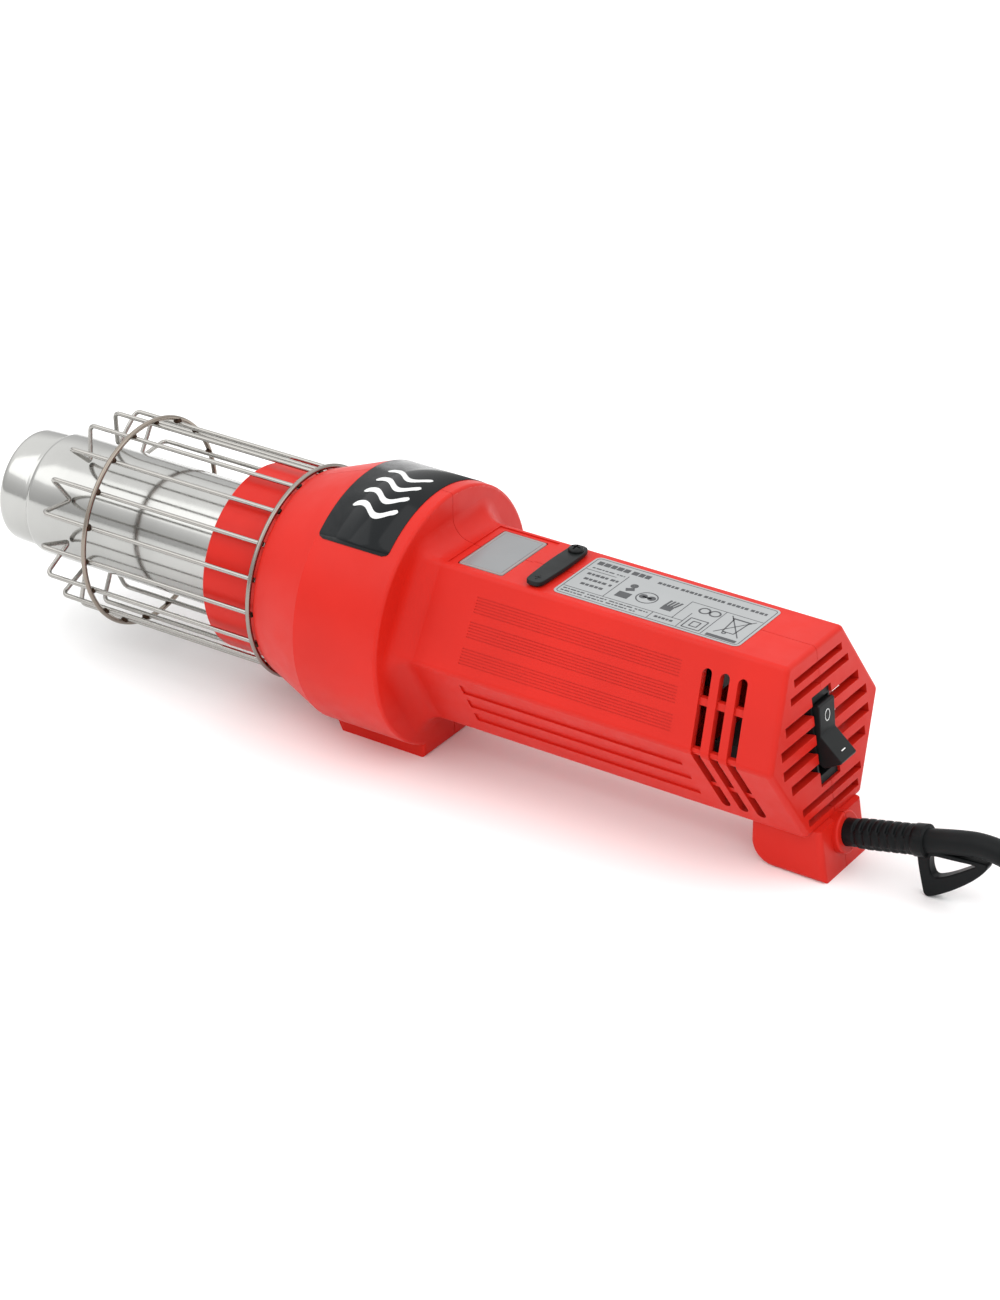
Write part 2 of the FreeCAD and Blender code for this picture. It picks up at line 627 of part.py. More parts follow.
def fan_shape():
    """Back plate, hub and curved blades in one moulding, bored for the shaft."""
    back, plate, depth = mm("fan_back"), mm("fan_plate"), mm("fan_depth")
    radius, hub = mm("fan_radius"), mm("fan_hub")
    shape = Part.makeCylinder(radius, plate, Vector(back, 0, 0), Vector(1, 0, 0))
    blades = [Part.makeCylinder(hub, depth, Vector(back, 0, 0), Vector(1, 0, 0))]
    for index in range(int(mm("fan_blades"))):
        outline = [Vector(back, y, z) for y, z in ((0, hub - 1), (3.2, 22), (11.0, 39.0))]
        curve = Part.Arc(*outline).toShape()
        across = Vector(0, mm("blade_thick"), 0)
        back_curve = Part.Arc(*[p + across for p in outline]).toShape()
        ends = [Part.LineSegment(outline[0], outline[0] + across).toShape(),
                Part.LineSegment(outline[2], outline[2] + across).toShape()]
        face = Part.Face(Part.Wire(Part.__sortEdges__([curve, back_curve] + ends)))
        blade = face.extrude(Vector(depth, 0, 0))
        blade.rotate(Vector(), Vector(1, 0, 0), index * 360.0 / mm("fan_blades"))
        blades.append(blade)
    bore = Part.makeCylinder(mm("shaft_radius"), depth + 10, Vector(back - 5, 0, 0), Vector(1, 0, 0))
    return shape.multiFuse(blades).cut(bore)


feature("fan_impeller", fan_shape())
node(rod("motor_shaft", "shaft_radius", dim("shaft_end") - "shaft_start", "shaft_start"), "motor_shaft")

motor_start = dim("motor_start")
motor_end = motor_start + "motor_length"
turned("motor_rotor", [(motor_start + 8, "shaft_radius"), (motor_start + 8, "rotor_radius"),
                       (motor_start + 46, "rotor_radius"), (motor_start + 46, 7), (motor_start + 56, 7),
                       (motor_start + 56, "shaft_radius")])
turned("motor_case", [(motor_start, "bearing_radius"), (motor_start, "motor_radius"),
                      (motor_end, "motor_radius"), (motor_end, "motor_bore"),
                      (motor_start + 3, "motor_bore"), (motor_start + 3, "bearing_radius")])
turned("brush_cap", [(motor_end + 0.1, "bearing_radius"), (motor_end + 0.1, dim("motor_radius") - 1),
                     (motor_end + 6, dim("motor_radius") - 3), (motor_end + 6, "bearing_radius")])
bearing_gap = dim("shaft_radius") + "running_gap"
for name, x in (("front_bearing", motor_start - 5), ("rear_bearing", motor_end + 0.6)):
    turned(name, [(x, bearing_gap), (x, "bearing_radius"), (x + "bearing_width", "bearing_radius"),
                  (x + "bearing_width", bearing_gap)])
drilled_disc("motor_mount", motor_start - 5, "mount_radius", dim("bearing_radius") + 0.05, "mount_thick",
             5.2, 19.0, 6)

# ---- electronics --------------------------------------------------------------------------------------------

lens_top = dim("half_height") - "lens_depth"
lens_body = block("lens_block", dim("window_length") - 0.6, dim("window_half") * 2 - 0.6, 2.8,
                  dim("window_start") + 0.3, 0.3 - dim("window_half").number, lens_top - 2.8)
lens_foot = block("lens_foot", dim("window_length") + 1.8, 32.6, 0.5, dim("window_start") - 0.9, -16.3, 29.1)
node(fuse("lens_whole", [lens_body, lens_foot]), "display_lens")
node(block("display_module", 20.0, 31.0, 2.2, 211.8, -15.5, 26.6), "display_module")
node(block("control_board", 62.0, 34.0, 1.6, 233.0, -17.0, 23.6), "control_board")
node(block("power_heatsink", 22.0, 26.0, 10.0, 299.0, -13.0, 12.0), "power_heatsink")
node(block("terminal_block", 12.0, 22.0, 10.0, 318.0, -11.0, -20.0), "terminal_block")

adjuster_body = rod("adjuster_stem", "adjuster_radius", 6.2, "tab_place", "adjuster_place", 25.3, UPRIGHT)
adjuster_slot = block("adjuster_slot", 6.0, 0.9, 1.2, dim("tab_place") - 3, dim("adjuster_place") - 0.45, 30.5)
node(cut("adjuster_cut", adjuster_body, adjuster_slot), "adjuster")


def tab_body():
    """The lens-shaped strap, padded from arcs, with its pivot hole pocketed through."""
    body = doc.addObject("PartDesign::Body", "swing_tab")
    sketch = new_sketch(body, "tab_outline", "XY_Plane")
    pivot_end, tip, tip_half, pivot_half, waist = 4.1, -28.5, 3.0, 3.3, 3.95
    arcs = [((-pivot_half, 1.2), (-waist, -12.0), (-tip_half, -26.2)), ((-tip_half, -26.2), (0, tip), (tip_half, -26.2)),
            ((tip_half, -26.2), (waist, -12.0), (pivot_half, 1.2)), ((pivot_half, 1.2), (0, pivot_end), (-pivot_half, 1.2))]
    for corners in arcs:
        arc = Part.Arc(*[Vector(x, y, 0) for x, y in corners])
        sketch.addConstraint(Constraint("Block", sketch.addGeometry(arc, False)))
    hole = sketch.addGeometry(Part.Circle(Vector(), Vector(0, 0, 1), mm("screw_shank") + 0.05), False)
    sketch.addConstraint(Constraint("Coincident", hole, 3, -1, 1))
    named = sketch.addConstraint(Constraint("Radius", hole, mm("screw_shank") + 0.05))
    sketch.setExpression(f"Constraints[{named}]", "Sizes.screw_shank + Sizes.running_gap")
    pad = body.newObject("PartDesign::Pad", "tab_pad")
    pad.Profile = (sketch, [""])
    bind(pad, "Length", "tab_thick")
    body.Tip = pad
    return place(body, "tab_place", "tab_pivot", dim("half_height") + "tab_lift")


node(tab_body(), "swing_tab")

tab_top = dim("half_height") + "tab_lift" + "tab_thick"
screw_base = dim("half_height") - 5
shank = rod("pivot_shank", "screw_shank", tab_top + 0.15 - screw_base, "tab_place", "tab_pivot", screw_base, UPRIGHT)
head = rod("pivot_head", "screw_head", 1.5, "tab_place", "tab_pivot", tab_top + 0.1, UPRIGHT)
cross = [block(f"pivot_cross_{name}", x, y, 1.1, dim("tab_place") - x / 2, dim("tab_pivot") - y / 2, tab_top + 0.7)
         for name, x, y in (("long", 3.4, 0.7), ("wide", 0.7, 3.4))]
whole = fuse("pivot_whole", [shank, head])
node(cut("pivot_cut", whole, fuse("pivot_cross", cross)), "tab_screw")

plate = block("plate_block", "plate_length", dim("plate_half") * 2, "label_thick", "plate_start",
              -dim("plate_half"), "half_height")
doc.recompute()
rounded = doc.addObject("Part::Fillet", "plate_rounded")
rounded.Base = plate
rounded.Edges = [(number, 2.4, 2.4) for number, e in enumerate(plate.Shape.Edges, 1)
                 if e.BoundBox.ZMax - e.BoundBox.ZMin > 0.1]
node(rounded, "rating_plate")

badge = turned("wrap_badge", [("badge_start", dim("drum_radius") + 0.02),
                              ("badge_start", dim("drum_radius") + 0.02 + "label_thick"),
                              ("badge_end", dim("drum_radius") + 0.02 + "label_thick"),
                              ("badge_end", dim("drum_radius") + 0.02)], "badge_angle")
badge.Placement = Placement(badge.Placement.Base, Rotation(Vector(1, 0, 0), -mm("badge_angle") / 2))

# ---- switch -----------------------------------------------------------------------------------------------------

switch_mid = mm("switch_centre")
aperture = mm("aperture_half") - 0.15
tall = mm("aperture_long") - 0.2
case = rear_block((-mm("switch_depth"), -1.0), aperture, switch_mid - tall, switch_mid + tall)
pocket = rear_block((-15.0, 2.0), mm("rocker_half") + 0.35, switch_mid - 13.8, switch_mid + 13.8)
feature("switch_case", case.cut(pocket))


def rocker_shape():
    """The V-topped rocker, tilted about its pivot so that its lower end stands out."""
    half = mm("rocker_half")
    hinge = rear_frame(-mm("rocker_pivot"), switch_mid)
    hinge = hinge.multiply(Placement(Vector(), Rotation(Vector(0, 1, 0), -mm("rocker_tilt"))))
    outline = [(5.2, 0.0), (9.6, 10.6), (8.8, 11.4), (1.4, 11.6), (-3.4, 6.0), (-3.4, -6.0), (1.4, -11.6),
               (8.8, -11.4), (9.6, -10.6)]
    corners = [hinge.multVec(Vector(x, -half, z)) for x, z in outline]
    shape = polygon_face(corners).extrude(Vector(0, 2 * half, 0))
    outer = mm("rear_face") + 1.0
    edges = [e for e in shape.Edges if e.BoundBox.XMin > outer and e.BoundBox.YMax - e.BoundBox.YMin < 1e-6]
    return shape.makeFillet(0.5, edges)


feature("rocker", rocker_shape())

# ---- fasteners, clamp and cord exit ---------------------------------------------------------------------------

screws = []
for x, z, reach in SCREW_POSTS:
    shaft = Part.makeCylinder(1.4, 16, Vector(x, reach - 4.6 - 15.5, z), Vector(0, 1, 0))
    top = Part.makeCylinder(2.9, 2.2, Vector(x, reach - 4.5, z), Vector(0, 1, 0))
    recess = Part.makeBox(2.8, 1.2, 0.7, Vector(x - 1.4, reach - 3.4, z - 0.35))
    across = Part.makeBox(0.7, 1.2, 2.8, Vector(x - 0.35, reach - 3.4, z - 1.4))
    screws.append(shaft.fuse(top).cut([recess, across]))
feature("housing_screws", Part.makeCompound(screws))

clamp = block("clamp_bar", 6.0, 22.0, 4.0, 341.0, -11.0, -34.2)
clamp_screws = [rod(f"clamp_screw_{index}", 1.4, 8.6, 344.0, y, -38.4, UPRIGHT)
                for index, y in enumerate((-8.2, 8.2))]
holes = [rod(f"clamp_hole_{index}", 1.45, 12.0, 344.0, y, -40.0, UPRIGHT)
         for index, y in enumerate((-8.2, 8.2))]
node(cut("clamp_drilled", clamp, fuse("clamp_holes", holes)), "cord_clamp")
node(fuse("clamp_screw_pair", clamp_screws), "clamp_screws")


def strain_relief():
    """Ribbed sleeve with a ring at its end and a flat eye for hanging the tool."""
    root, rib, length = mm("relief_root"), mm("relief_rib"), mm("relief_length")
    collar_end = length - 4.6
    pieces = [relief_cylinder(root, -14.5, collar_end), relief_cylinder(7.4, -14.5, -12.0),
              relief_cylinder(mm("relief_ring"), collar_end, length)]
    for index in range(7):
        start = 8.0 + index * 3.2
        pieces.append(relief_cylinder(rib, start, start + 1.9))
    outer = [(394.3, -35.6), (397.7, -46.0), (398.9, -50.9), (401.0, -50.7), (407.6, -46.6), (417.2, -38.2),
             (422.0, -32.4), (421.4, -30.6), (418.6, -30.6), (400.6, -33.6)]
    hole = [(400.4, -38.6), (401.2, -36.0), (406.0, -33.9), (415.6, -32.6), (411.6, -36.8), (405.4, -41.2),
            (401.6, -41.6)]
    eye = polygon_face([Vector(x, -2.4, z) for x, z in outer]).extrude(Vector(0, 4.8, 0))
    gap = polygon_face([Vector(x, -4, z) for x, z in hole]).extrude(Vector(0, 8, 0))
    return pieces[0].multiFuse(pieces[1:] + [eye]).cut(gap)


feature("strain_relief", strain_relief())

# ---- cord, coil and plug, laid on the surface ------------------------------------------------------------------

ON_FLOOR = Placement()
CORD_ROUTE = [(213.9, 0.0, 21.2), (224.2, 0.0, 24.2), (236.0, 0.0, 26.6), (249.6, -0.6, 24.6),
              (263.2, -2.6, 20.0), (275.6, -5.8, 13.8), (288.0, -9.4, 9.4), (302.0, -13.0, 6.6),
              (317.0, -15.4, 5.5), (332.0, -16.4, 5.1), (346.0, -16.5, 5.1)]
TAIL_ROUTE = [(334.9, 98.5, 14.1), (324.2, 95.7, 14.3), (311.7, 92.3, 16.0), (299.1, 88.9, 18.2),
              (289.5, 86.3, 18.9)]


def cord_run(label, route):
    """A plain round tube along a hand-laid route, each bend as large as its two runs allow."""
    points = [Vector(*spot) for spot in route]
    radii = []
    for before, here, after in zip(points, points[1:], points[2:]):
        runs = (here - before).Length, (after - here).Length
        turn = (here - before).getAngle(after - here)
        radii.append(0.45 * min(runs) / math.tan(turn / 2))
    wire = rounded_path(points, radii)
    print(label, "bend radii", [round(radius) for radius in radii], "length", round(wire.Length, 1))
    return feature(label, tube_along(wire, mm("cord_radius")), ON_FLOOR)


cord_run("cord", CORD_ROUTE)
cord_run("cord_tail", TAIL_ROUTE)

COIL_CENTRE = (350.0, 42.0)
low, high = dim("coil_lift"), dim("coil_lift") + "coil_height"
coil = doc.addObject("PartDesign::Body", "cord_coil")
coil_sketch = new_sketch(coil, "coil_section", "XZ_Plane")
soft = 3.5
bound_outline(coil_sketch, [
    (dim("coil_inner") + soft, low), (dim("coil_outer") - soft, low), ("coil_outer", low + soft),
    ("coil_outer", high - soft), (dim("coil_outer") - soft, high), (dim("coil_inner") + soft, high),
    ("coil_inner", high - soft), ("coil_inner", low + soft)])
coil_turn = coil.newObject("PartDesign::Revolution", "coil_turn")
coil_turn.Profile = (coil_sketch, [""])
coil_turn.ReferenceAxis = (coil_sketch, ["V_Axis"])
coil_turn.Angle = 360
coil.Tip = coil_turn
coil.Placement = Placement(Vector(*COIL_CENTRE, 0), UPRIGHT)
node(coil, "cord_coil")

tie_thick = mm("tie_thick")
inner, outer = mm("coil_inner") - 0.1, mm("coil_outer") + 0.1
top = mm("coil_lift") + mm("coil_height") + 0.1
band = Part.makeBox(outer - inner + 2 * tie_thick, 5.0, top + tie_thick, Vector(-outer - tie_thick, -2.5, 0))
window = Part.makeBox(outer - inner, 6.0, top - tie_thick, Vector(-outer, -3, tie_thick))
feature("cord_tie", band.cut(window), Placement(Vector(*COIL_CENTRE, 0), UPRIGHT))

PLUG_X = 289.5
PLUG_Y = 86.3
PLUG_TURN = Rotation(Vector(0, 0, 1), 195)
plug_body = doc.addObject("PartDesign::Body", "plug_body")
plug_sketch = new_sketch(plug_body, "plug_profile", "XZ_Plane")
big = dim("plug_radius")
bound_outline(plug_sketch, [
    (0, 0), (0, 6.2), (14, 7.4), (18, 12.0), (24, big - 2.5), (34, big - 1.5), (40, big), (57, big),
    (58, big - 1), (58, 0)])
plug_turn = plug_body.newObject("PartDesign::Revolution", "plug_turn")
plug_turn.Profile = (plug_sketch, [""])
plug_turn.ReferenceAxis = (plug_sketch, ["H_Axis"])
plug_turn.Angle = 360
plug_body.Tip = plug_turn
plug_body.Placement = Placement(Vector(PLUG_X, PLUG_Y, mm("plug_height")), PLUG_TURN)
bind(plug_body, "Placement.Base.z", "plug_height")
node(plug_body, "plug_body")

pins = []
for side in (-0.5, 0.5):
    base = Vector(58, side * mm("pin_spacing"), 0)
    pins.append(Part.makeCylinder(mm("pin_radius"), mm("pin_length"), base, Vector(1, 0, 0)))
feature("plug_pins", Part.makeCompound(pins), plug_body.Placement)

# ---- check every object, then write one file for each node --------------------------------------------------

doc.recompute()
for obj in doc.Objects:
    assert "Invalid" not in obj.State and "Error" not in obj.State, f"{obj.Label} failed: {obj.State}"
labels = [obj.Label for obj in NODES]
assert len(set(labels)) == len(labels), "two nodes share a label"
for obj in NODES:
    assert not obj.Shape.isNull(), f"{obj.Label} is empty"
    assert obj.Shape.isValid(), f"{obj.Label} is not a valid shape"

os.makedirs("parts", exist_ok=True)
for old in os.listdir("parts"):
    os.remove(os.path.join("parts", old))
for obj in NODES:
    obj.Shape.exportStep(os.path.join("parts", f"{obj.Label}.step"))
    box = obj.Shape.BoundBox
    print(f"{obj.Label:18s} x {box.XMin:8.1f} {box.XMax:8.1f}  y {box.YMin:7.1f} {box.YMax:7.1f}"
          f"  z {box.ZMin:7.1f} {box.ZMax:7.1f}  solids {len(obj.Shape.Solids)}  cm3 {obj.Shape.Volume / 1000:7.2f}")
print(len(NODES), "nodes")
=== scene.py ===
"""Visual model of a corded heat gun with a wire guard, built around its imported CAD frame.

Sizes are in millimetres in the tool's own frame and become metres when a mesh is made. Axial points count
s along the barrel from the nozzle's mouth, y across and z up from the barrel's axis.
"""
from __future__ import annotations

import logging
import math
from dataclasses import dataclass, field
from enum import Enum
from typing import Callable, Sequence

import bmesh
import bpy
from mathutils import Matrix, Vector

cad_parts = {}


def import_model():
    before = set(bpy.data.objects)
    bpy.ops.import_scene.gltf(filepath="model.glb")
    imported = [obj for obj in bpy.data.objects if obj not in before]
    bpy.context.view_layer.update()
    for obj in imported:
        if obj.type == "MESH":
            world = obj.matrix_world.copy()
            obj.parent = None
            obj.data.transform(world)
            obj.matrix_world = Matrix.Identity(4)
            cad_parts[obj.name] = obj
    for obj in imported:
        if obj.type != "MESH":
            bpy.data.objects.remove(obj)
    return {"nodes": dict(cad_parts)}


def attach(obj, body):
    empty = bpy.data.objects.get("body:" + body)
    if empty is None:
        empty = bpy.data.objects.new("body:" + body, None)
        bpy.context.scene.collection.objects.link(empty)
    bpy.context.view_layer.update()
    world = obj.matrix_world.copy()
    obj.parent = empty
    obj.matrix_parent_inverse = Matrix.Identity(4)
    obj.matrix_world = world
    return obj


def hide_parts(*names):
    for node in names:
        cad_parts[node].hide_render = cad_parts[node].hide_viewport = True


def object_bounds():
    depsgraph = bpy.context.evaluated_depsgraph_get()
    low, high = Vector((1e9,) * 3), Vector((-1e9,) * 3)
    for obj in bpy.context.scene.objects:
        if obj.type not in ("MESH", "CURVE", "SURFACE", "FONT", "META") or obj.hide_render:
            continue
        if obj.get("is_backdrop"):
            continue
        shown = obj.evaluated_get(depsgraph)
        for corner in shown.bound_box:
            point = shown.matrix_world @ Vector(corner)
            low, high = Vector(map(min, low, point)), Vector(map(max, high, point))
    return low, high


LOG = logging.getLogger("heat_gun")

MM = 0.001
MOUTH_X = -184.1
AXIS_Z = 51.2
LEAN = math.radians(9.43)
REAR_FACE = 356.0

Point = tuple[float, float, float]
Pair = tuple[float, float]
Colour = tuple[float, float, float]


class Body(str, Enum):
    """The rigid bodies that pieces ride on."""

    TOOL = "tool"
    ROCKER = "rocker"
    TAB = "tab"


class Slot(str, Enum):
    """Names of the material slots that each new piece is passed with."""

    STEEL = "bright_steel"
    WIRE = "wire_steel"
    SCREW = "screw_steel"
    RESISTANCE = "resistance_wire"
    BLACK = "black_plastic"
    GLOSS = "black_gloss"
    LENS = "smoke_lens"
    LABEL = "label"
    RUBBER = "cord_rubber"


# ---- frames and small geometry -------------------------------------------------------------------


def axial(s: float, y: float, z: float) -> Vector:
    """Return the row-frame point, in metres, of an axial-frame point in millimetres."""
    return Vector(((s + MOUTH_X) * MM, y * MM, (z + AXIS_Z) * MM))


def rear(depth: float, y: float, up: float) -> Vector:
    """Return the point of the leaning rear face's frame: depth out of the face, y across, up along it."""
    return axial(REAR_FACE + depth * math.cos(LEAN) - up * math.sin(LEAN), y,
                 depth * math.sin(LEAN) + up * math.cos(LEAN))


def smooth_loop(corners: Sequence[Pair], steps: int) -> list[Pair]:
    """Round a closed outline into a smooth loop.

    Args:
        corners: the outline's control points, in order.
        steps: how many points each control point gives.

    Returns:
        Points of the closed quadratic B-spline of the corners.
    """
    count = len(corners)
    loop: list[Pair] = []
    for index in range(count):
        a, b, c = corners[index - 1], corners[index], corners[(index + 1) % count]
        for step in range(steps):
            t = step / steps
            wa, wb, wc = (1 - t) ** 2 / 2, 0.5 + t - t * t, t * t / 2
            loop.append((wa * a[0] + wb * b[0] + wc * c[0], wa * a[1] + wb * b[1] + wc * c[1]))
    return loop


def rounded_corners(points: Sequence[Vector], radii: Sequence[float], steps: int) -> list[Vector]:
    """Replace each inner corner of a path by an arc.

    Args:
        points: the path's corners.
        radii: the bends' radii, in the points' unit.
        steps: pieces in each arc.

    Returns:
        The path with its ends kept and its corners rounded.
    """
    path = [points[0]]
    for before, here, after, radius in zip(points, points[1:], points[2:], radii):
        u, v = (before - here).normalized(), (after - here).normalized()
        half = (math.pi - u.angle(v)) / 2
        reach = radius * math.tan(half)
        centre = here + (u + v).normalized() * (radius / math.cos(half))
        start = (here + u * reach - centre).normalized()
        end = (here + v * reach - centre).normalized()
        path += [centre + start.slerp(end, step / steps) * radius for step in range(steps + 1)]
    path.append(points[-1])
    return path


def rounded_box(low: Pair, high: Pair, radius: float, steps: int) -> list[Pair]:
    """Draw a box with round corners.

    Args:
        low: the corner with the smaller numbers.
        high: the opposite corner.
        radius: the corners' radius.
        steps: pieces in each corner.

    Returns:
        The outline's points, in order.
    """
    centres = ((high[0] - radius, high[1] - radius), (low[0] + radius, high[1] - radius),
               (low[0] + radius, low[1] + radius), (high[0] - radius, low[1] + radius))
    outline: list[Pair] = []
    for quarter, (x, y) in enumerate(centres):
        for step in range(steps + 1):
            a = math.radians(90.0 * (quarter + step / steps))
            outline.append((x + radius * math.cos(a), y + radius * math.sin(a)))
    return outline


class MeshMaker:
    """Makes mesh objects for the pieces."""

    @staticmethod
    def from_faces(name: str, points: Sequence[Vector], faces: Sequence[Sequence[int]],
                   smooth: bool = True) -> bpy.types.Object:
        """Make an object from points and faces, with its normals outwards.

        Args:
            name: the piece's name.
            points: vertices in metres.
            faces: vertex indices of each face.
            smooth: whether the faces shade smoothly.

        Returns:
            The new object, in the scene.
        """
        mesh = bpy.data.meshes.new(name)
        mesh.from_pydata([tuple(p) for p in points], [], [tuple(f) for f in faces])
        work = bmesh.new()
        work.from_mesh(mesh)
        bmesh.ops.remove_doubles(work, verts=work.verts, dist=1e-7)
        bmesh.ops.recalc_face_normals(work, faces=work.faces)
        work.to_mesh(mesh)
        work.free()
        mesh.update()
        mesh.polygons.foreach_set("use_smooth", [smooth] * len(mesh.polygons))
        obj = bpy.data.objects.new(name, mesh)
        bpy.context.scene.collection.objects.link(obj)
        return obj

    @classmethod
    def lathe(cls, name: str, profile: Sequence[Pair], segments: int = 128,
              place: Callable[[float, float, float], Vector] = axial) -> bpy.types.Object:
        """Turn a closed profile about the barrel's axis.

        Args:
            name: the piece's name.
            profile: (s, radius) corners of the closed section.
            segments: pieces round the axis.
            place: turns (along, across, up) into a row-frame point.

        Returns:
            The turned object.
        """
        points: list[Vector] = []
        faces: list[tuple[int, ...]] = []
        n = len(profile)
        for step in range(segments):
            a = 2 * math.pi * step / segments
            points += [place(s, r * math.cos(a), r * math.sin(a)) for s, r in profile]
            here, there = step * n, (step + 1) % segments * n
            faces += [(here + j, here + (j + 1) % n, there + (j + 1) % n, there + j) for j in range(n)]
        return cls.from_faces(name, points, faces)

    @classmethod
    def skin(cls, name: str, rows: Sequence[Sequence[Vector]]) -> bpy.types.Object:
        """Skin a stack of closed rows of points and cap both its ends.

        Args:
            name: the piece's name.
            rows: the rows, each with as many points in metres.

        Returns:
            The closed object.
        """
        sides = len(rows[0])
        faces: list[tuple[int, ...]] = []
        for row in range(len(rows) - 1):
            here, there = row * sides, (row + 1) * sides
            for j in range(sides):
                k = (j + 1) % sides
                faces.append((here + j, here + k, there + k, there + j))
        last = (len(rows) - 1) * sides
        faces += [tuple(range(sides)), tuple(range(last, last + sides))]
        return cls.from_faces(name, [point for row in rows for point in row], faces)

    @classmethod
    def tube(cls, name: str, path: Sequence[Vector], radius: float, sides: int = 14,
             closed: bool = False) -> bpy.types.Object:
        """Sweep a round section along a path with rounded ends.

        Args:
            name: the piece's name.
            path: centreline points in metres.
            radius: the section's radius in millimetres.
            sides: pieces round the section.
            closed: whether the path joins up with itself.

        Returns:
            The swept object.
        """
        count = len(path)
        points: list[Vector] = []
        tangents = []
        for i in range(count):
            before = path[i - 1] if i or closed else path[0]
            after = path[(i + 1) % count] if i < count - 1 or closed else path[-1]
            tangents.append((after - before).normalized())
        side = tangents[0].orthogonal().normalized()
        for i in range(count):
            side = (side - tangents[i] * side.dot(tangents[i])).normalized()
            up = tangents[i].cross(side)
            for j in range(sides):
                a = 2 * math.pi * j / sides
                points.append(path[i] + (side * math.cos(a) + up * math.sin(a)) * radius * MM)
        spans = count if closed else count - 1
        shift = 0
        if closed:
            first = points[0] - path[0]
            shift = round(math.atan2(first.dot(up), first.dot(side)) / (2 * math.pi) * sides)
        faces = []
        for i in range(spans):
            offset = shift if i == count - 1 else 0
            for j in range(sides):
                a, b = i * sides + (j + offset) % sides, i * sides + (j + 1 + offset) % sides
                there = (i + 1) % count * sides
                faces.append((a, b, there + (j + 1) % sides, there + j))
        if not closed:
            faces.append(tuple(reversed(range(sides))))
            faces.append(tuple(range((count - 1) * sides, count * sides)))
        return cls.from_faces(name, points, faces)

    @classmethod
    def slab(cls, name: str, outline: Sequence[Pair], low: float, high: float,
             place: Callable[[float, float, float], Vector], hole: Sequence[Pair] = ()) -> bpy.types.Object:
        """Raise an outline into a flat slab.

        Args:
            name: the piece's name.
            outline: the outline's corners, as (along, across).
            low: height of its underside.
            high: height of its top.
            place: turns (along, across, height) into a row-frame point.
            hole: a matching inner outline with as many corners, if the slab is a ring.

        Returns:
            The slab.
        """
        n = len(outline)
        rings = [[place(a, b, h) for a, b in line] for line in ([outline, hole] if hole else [outline])
                 for h in (low, high)]
        points = [p for ring in rings for p in ring]
        faces: list[tuple[int, ...]] = []
        for base in range(0, len(rings), 2):
            for j in range(n):
                k = (j + 1) % n
                faces.append((base * n + j, base * n + k, (base + 1) * n + k, (base + 1) * n + j))
        if hole:
            for layer in (0, 1):
                for j in range(n):
                    k = (j + 1) % n
                    faces.append((layer * n + j, layer * n + k, (layer + 2) * n + k, (layer + 2) * n + j))
        else:
            faces += [tuple(range(n)), tuple(range(n, 2 * n))]
        return cls.from_faces(name, points, faces, smooth=False)

    @staticmethod
    def join(name: str, objects: Sequence[bpy.types.Object]) -> bpy.types.Object:
        """Join several mesh objects into a new one.

        Args:
            name: the new object's name.
            objects: what it is made of; their meshes are used up.

        Returns:
            The joined object.
        """
        work = bmesh.new()
        for obj in objects:
            work.from_mesh(obj.data)
        mesh = bpy.data.meshes.new(name)
        work.to_mesh(mesh)
        work.free()
        for obj in objects:
            bpy.data.meshes.remove(obj.data)
        joined = bpy.data.objects.new(name, mesh)
        bpy.context.scene.collection.objects.link(joined)
        return joined

    @staticmethod
    def soften(obj: bpy.types.Object, width: float, segments: int = 2,
               angle: float = 35.0) -> bpy.types.Object:
        """Round an object's sharp edges and shade it smoothly.

        Args:
            obj: the object.
            width: the rounding's width in millimetres.
            segments: pieces across each rounding.
            angle: the edges sharper than this many degrees are rounded.

        Returns:
            The same object.
        """
        bevel = obj.modifiers.new("soften", "BEVEL")
        bevel.width = width * MM
        bevel.segments = segments
        bevel.limit_method = "ANGLE"
        bevel.angle_limit = math.radians(angle)
        bevel.harden_normals = True
        obj.data.polygons.foreach_set("use_smooth", [True] * len(obj.data.polygons))
        return obj


# ---- finishes ------------------------------------------------------------------------------------


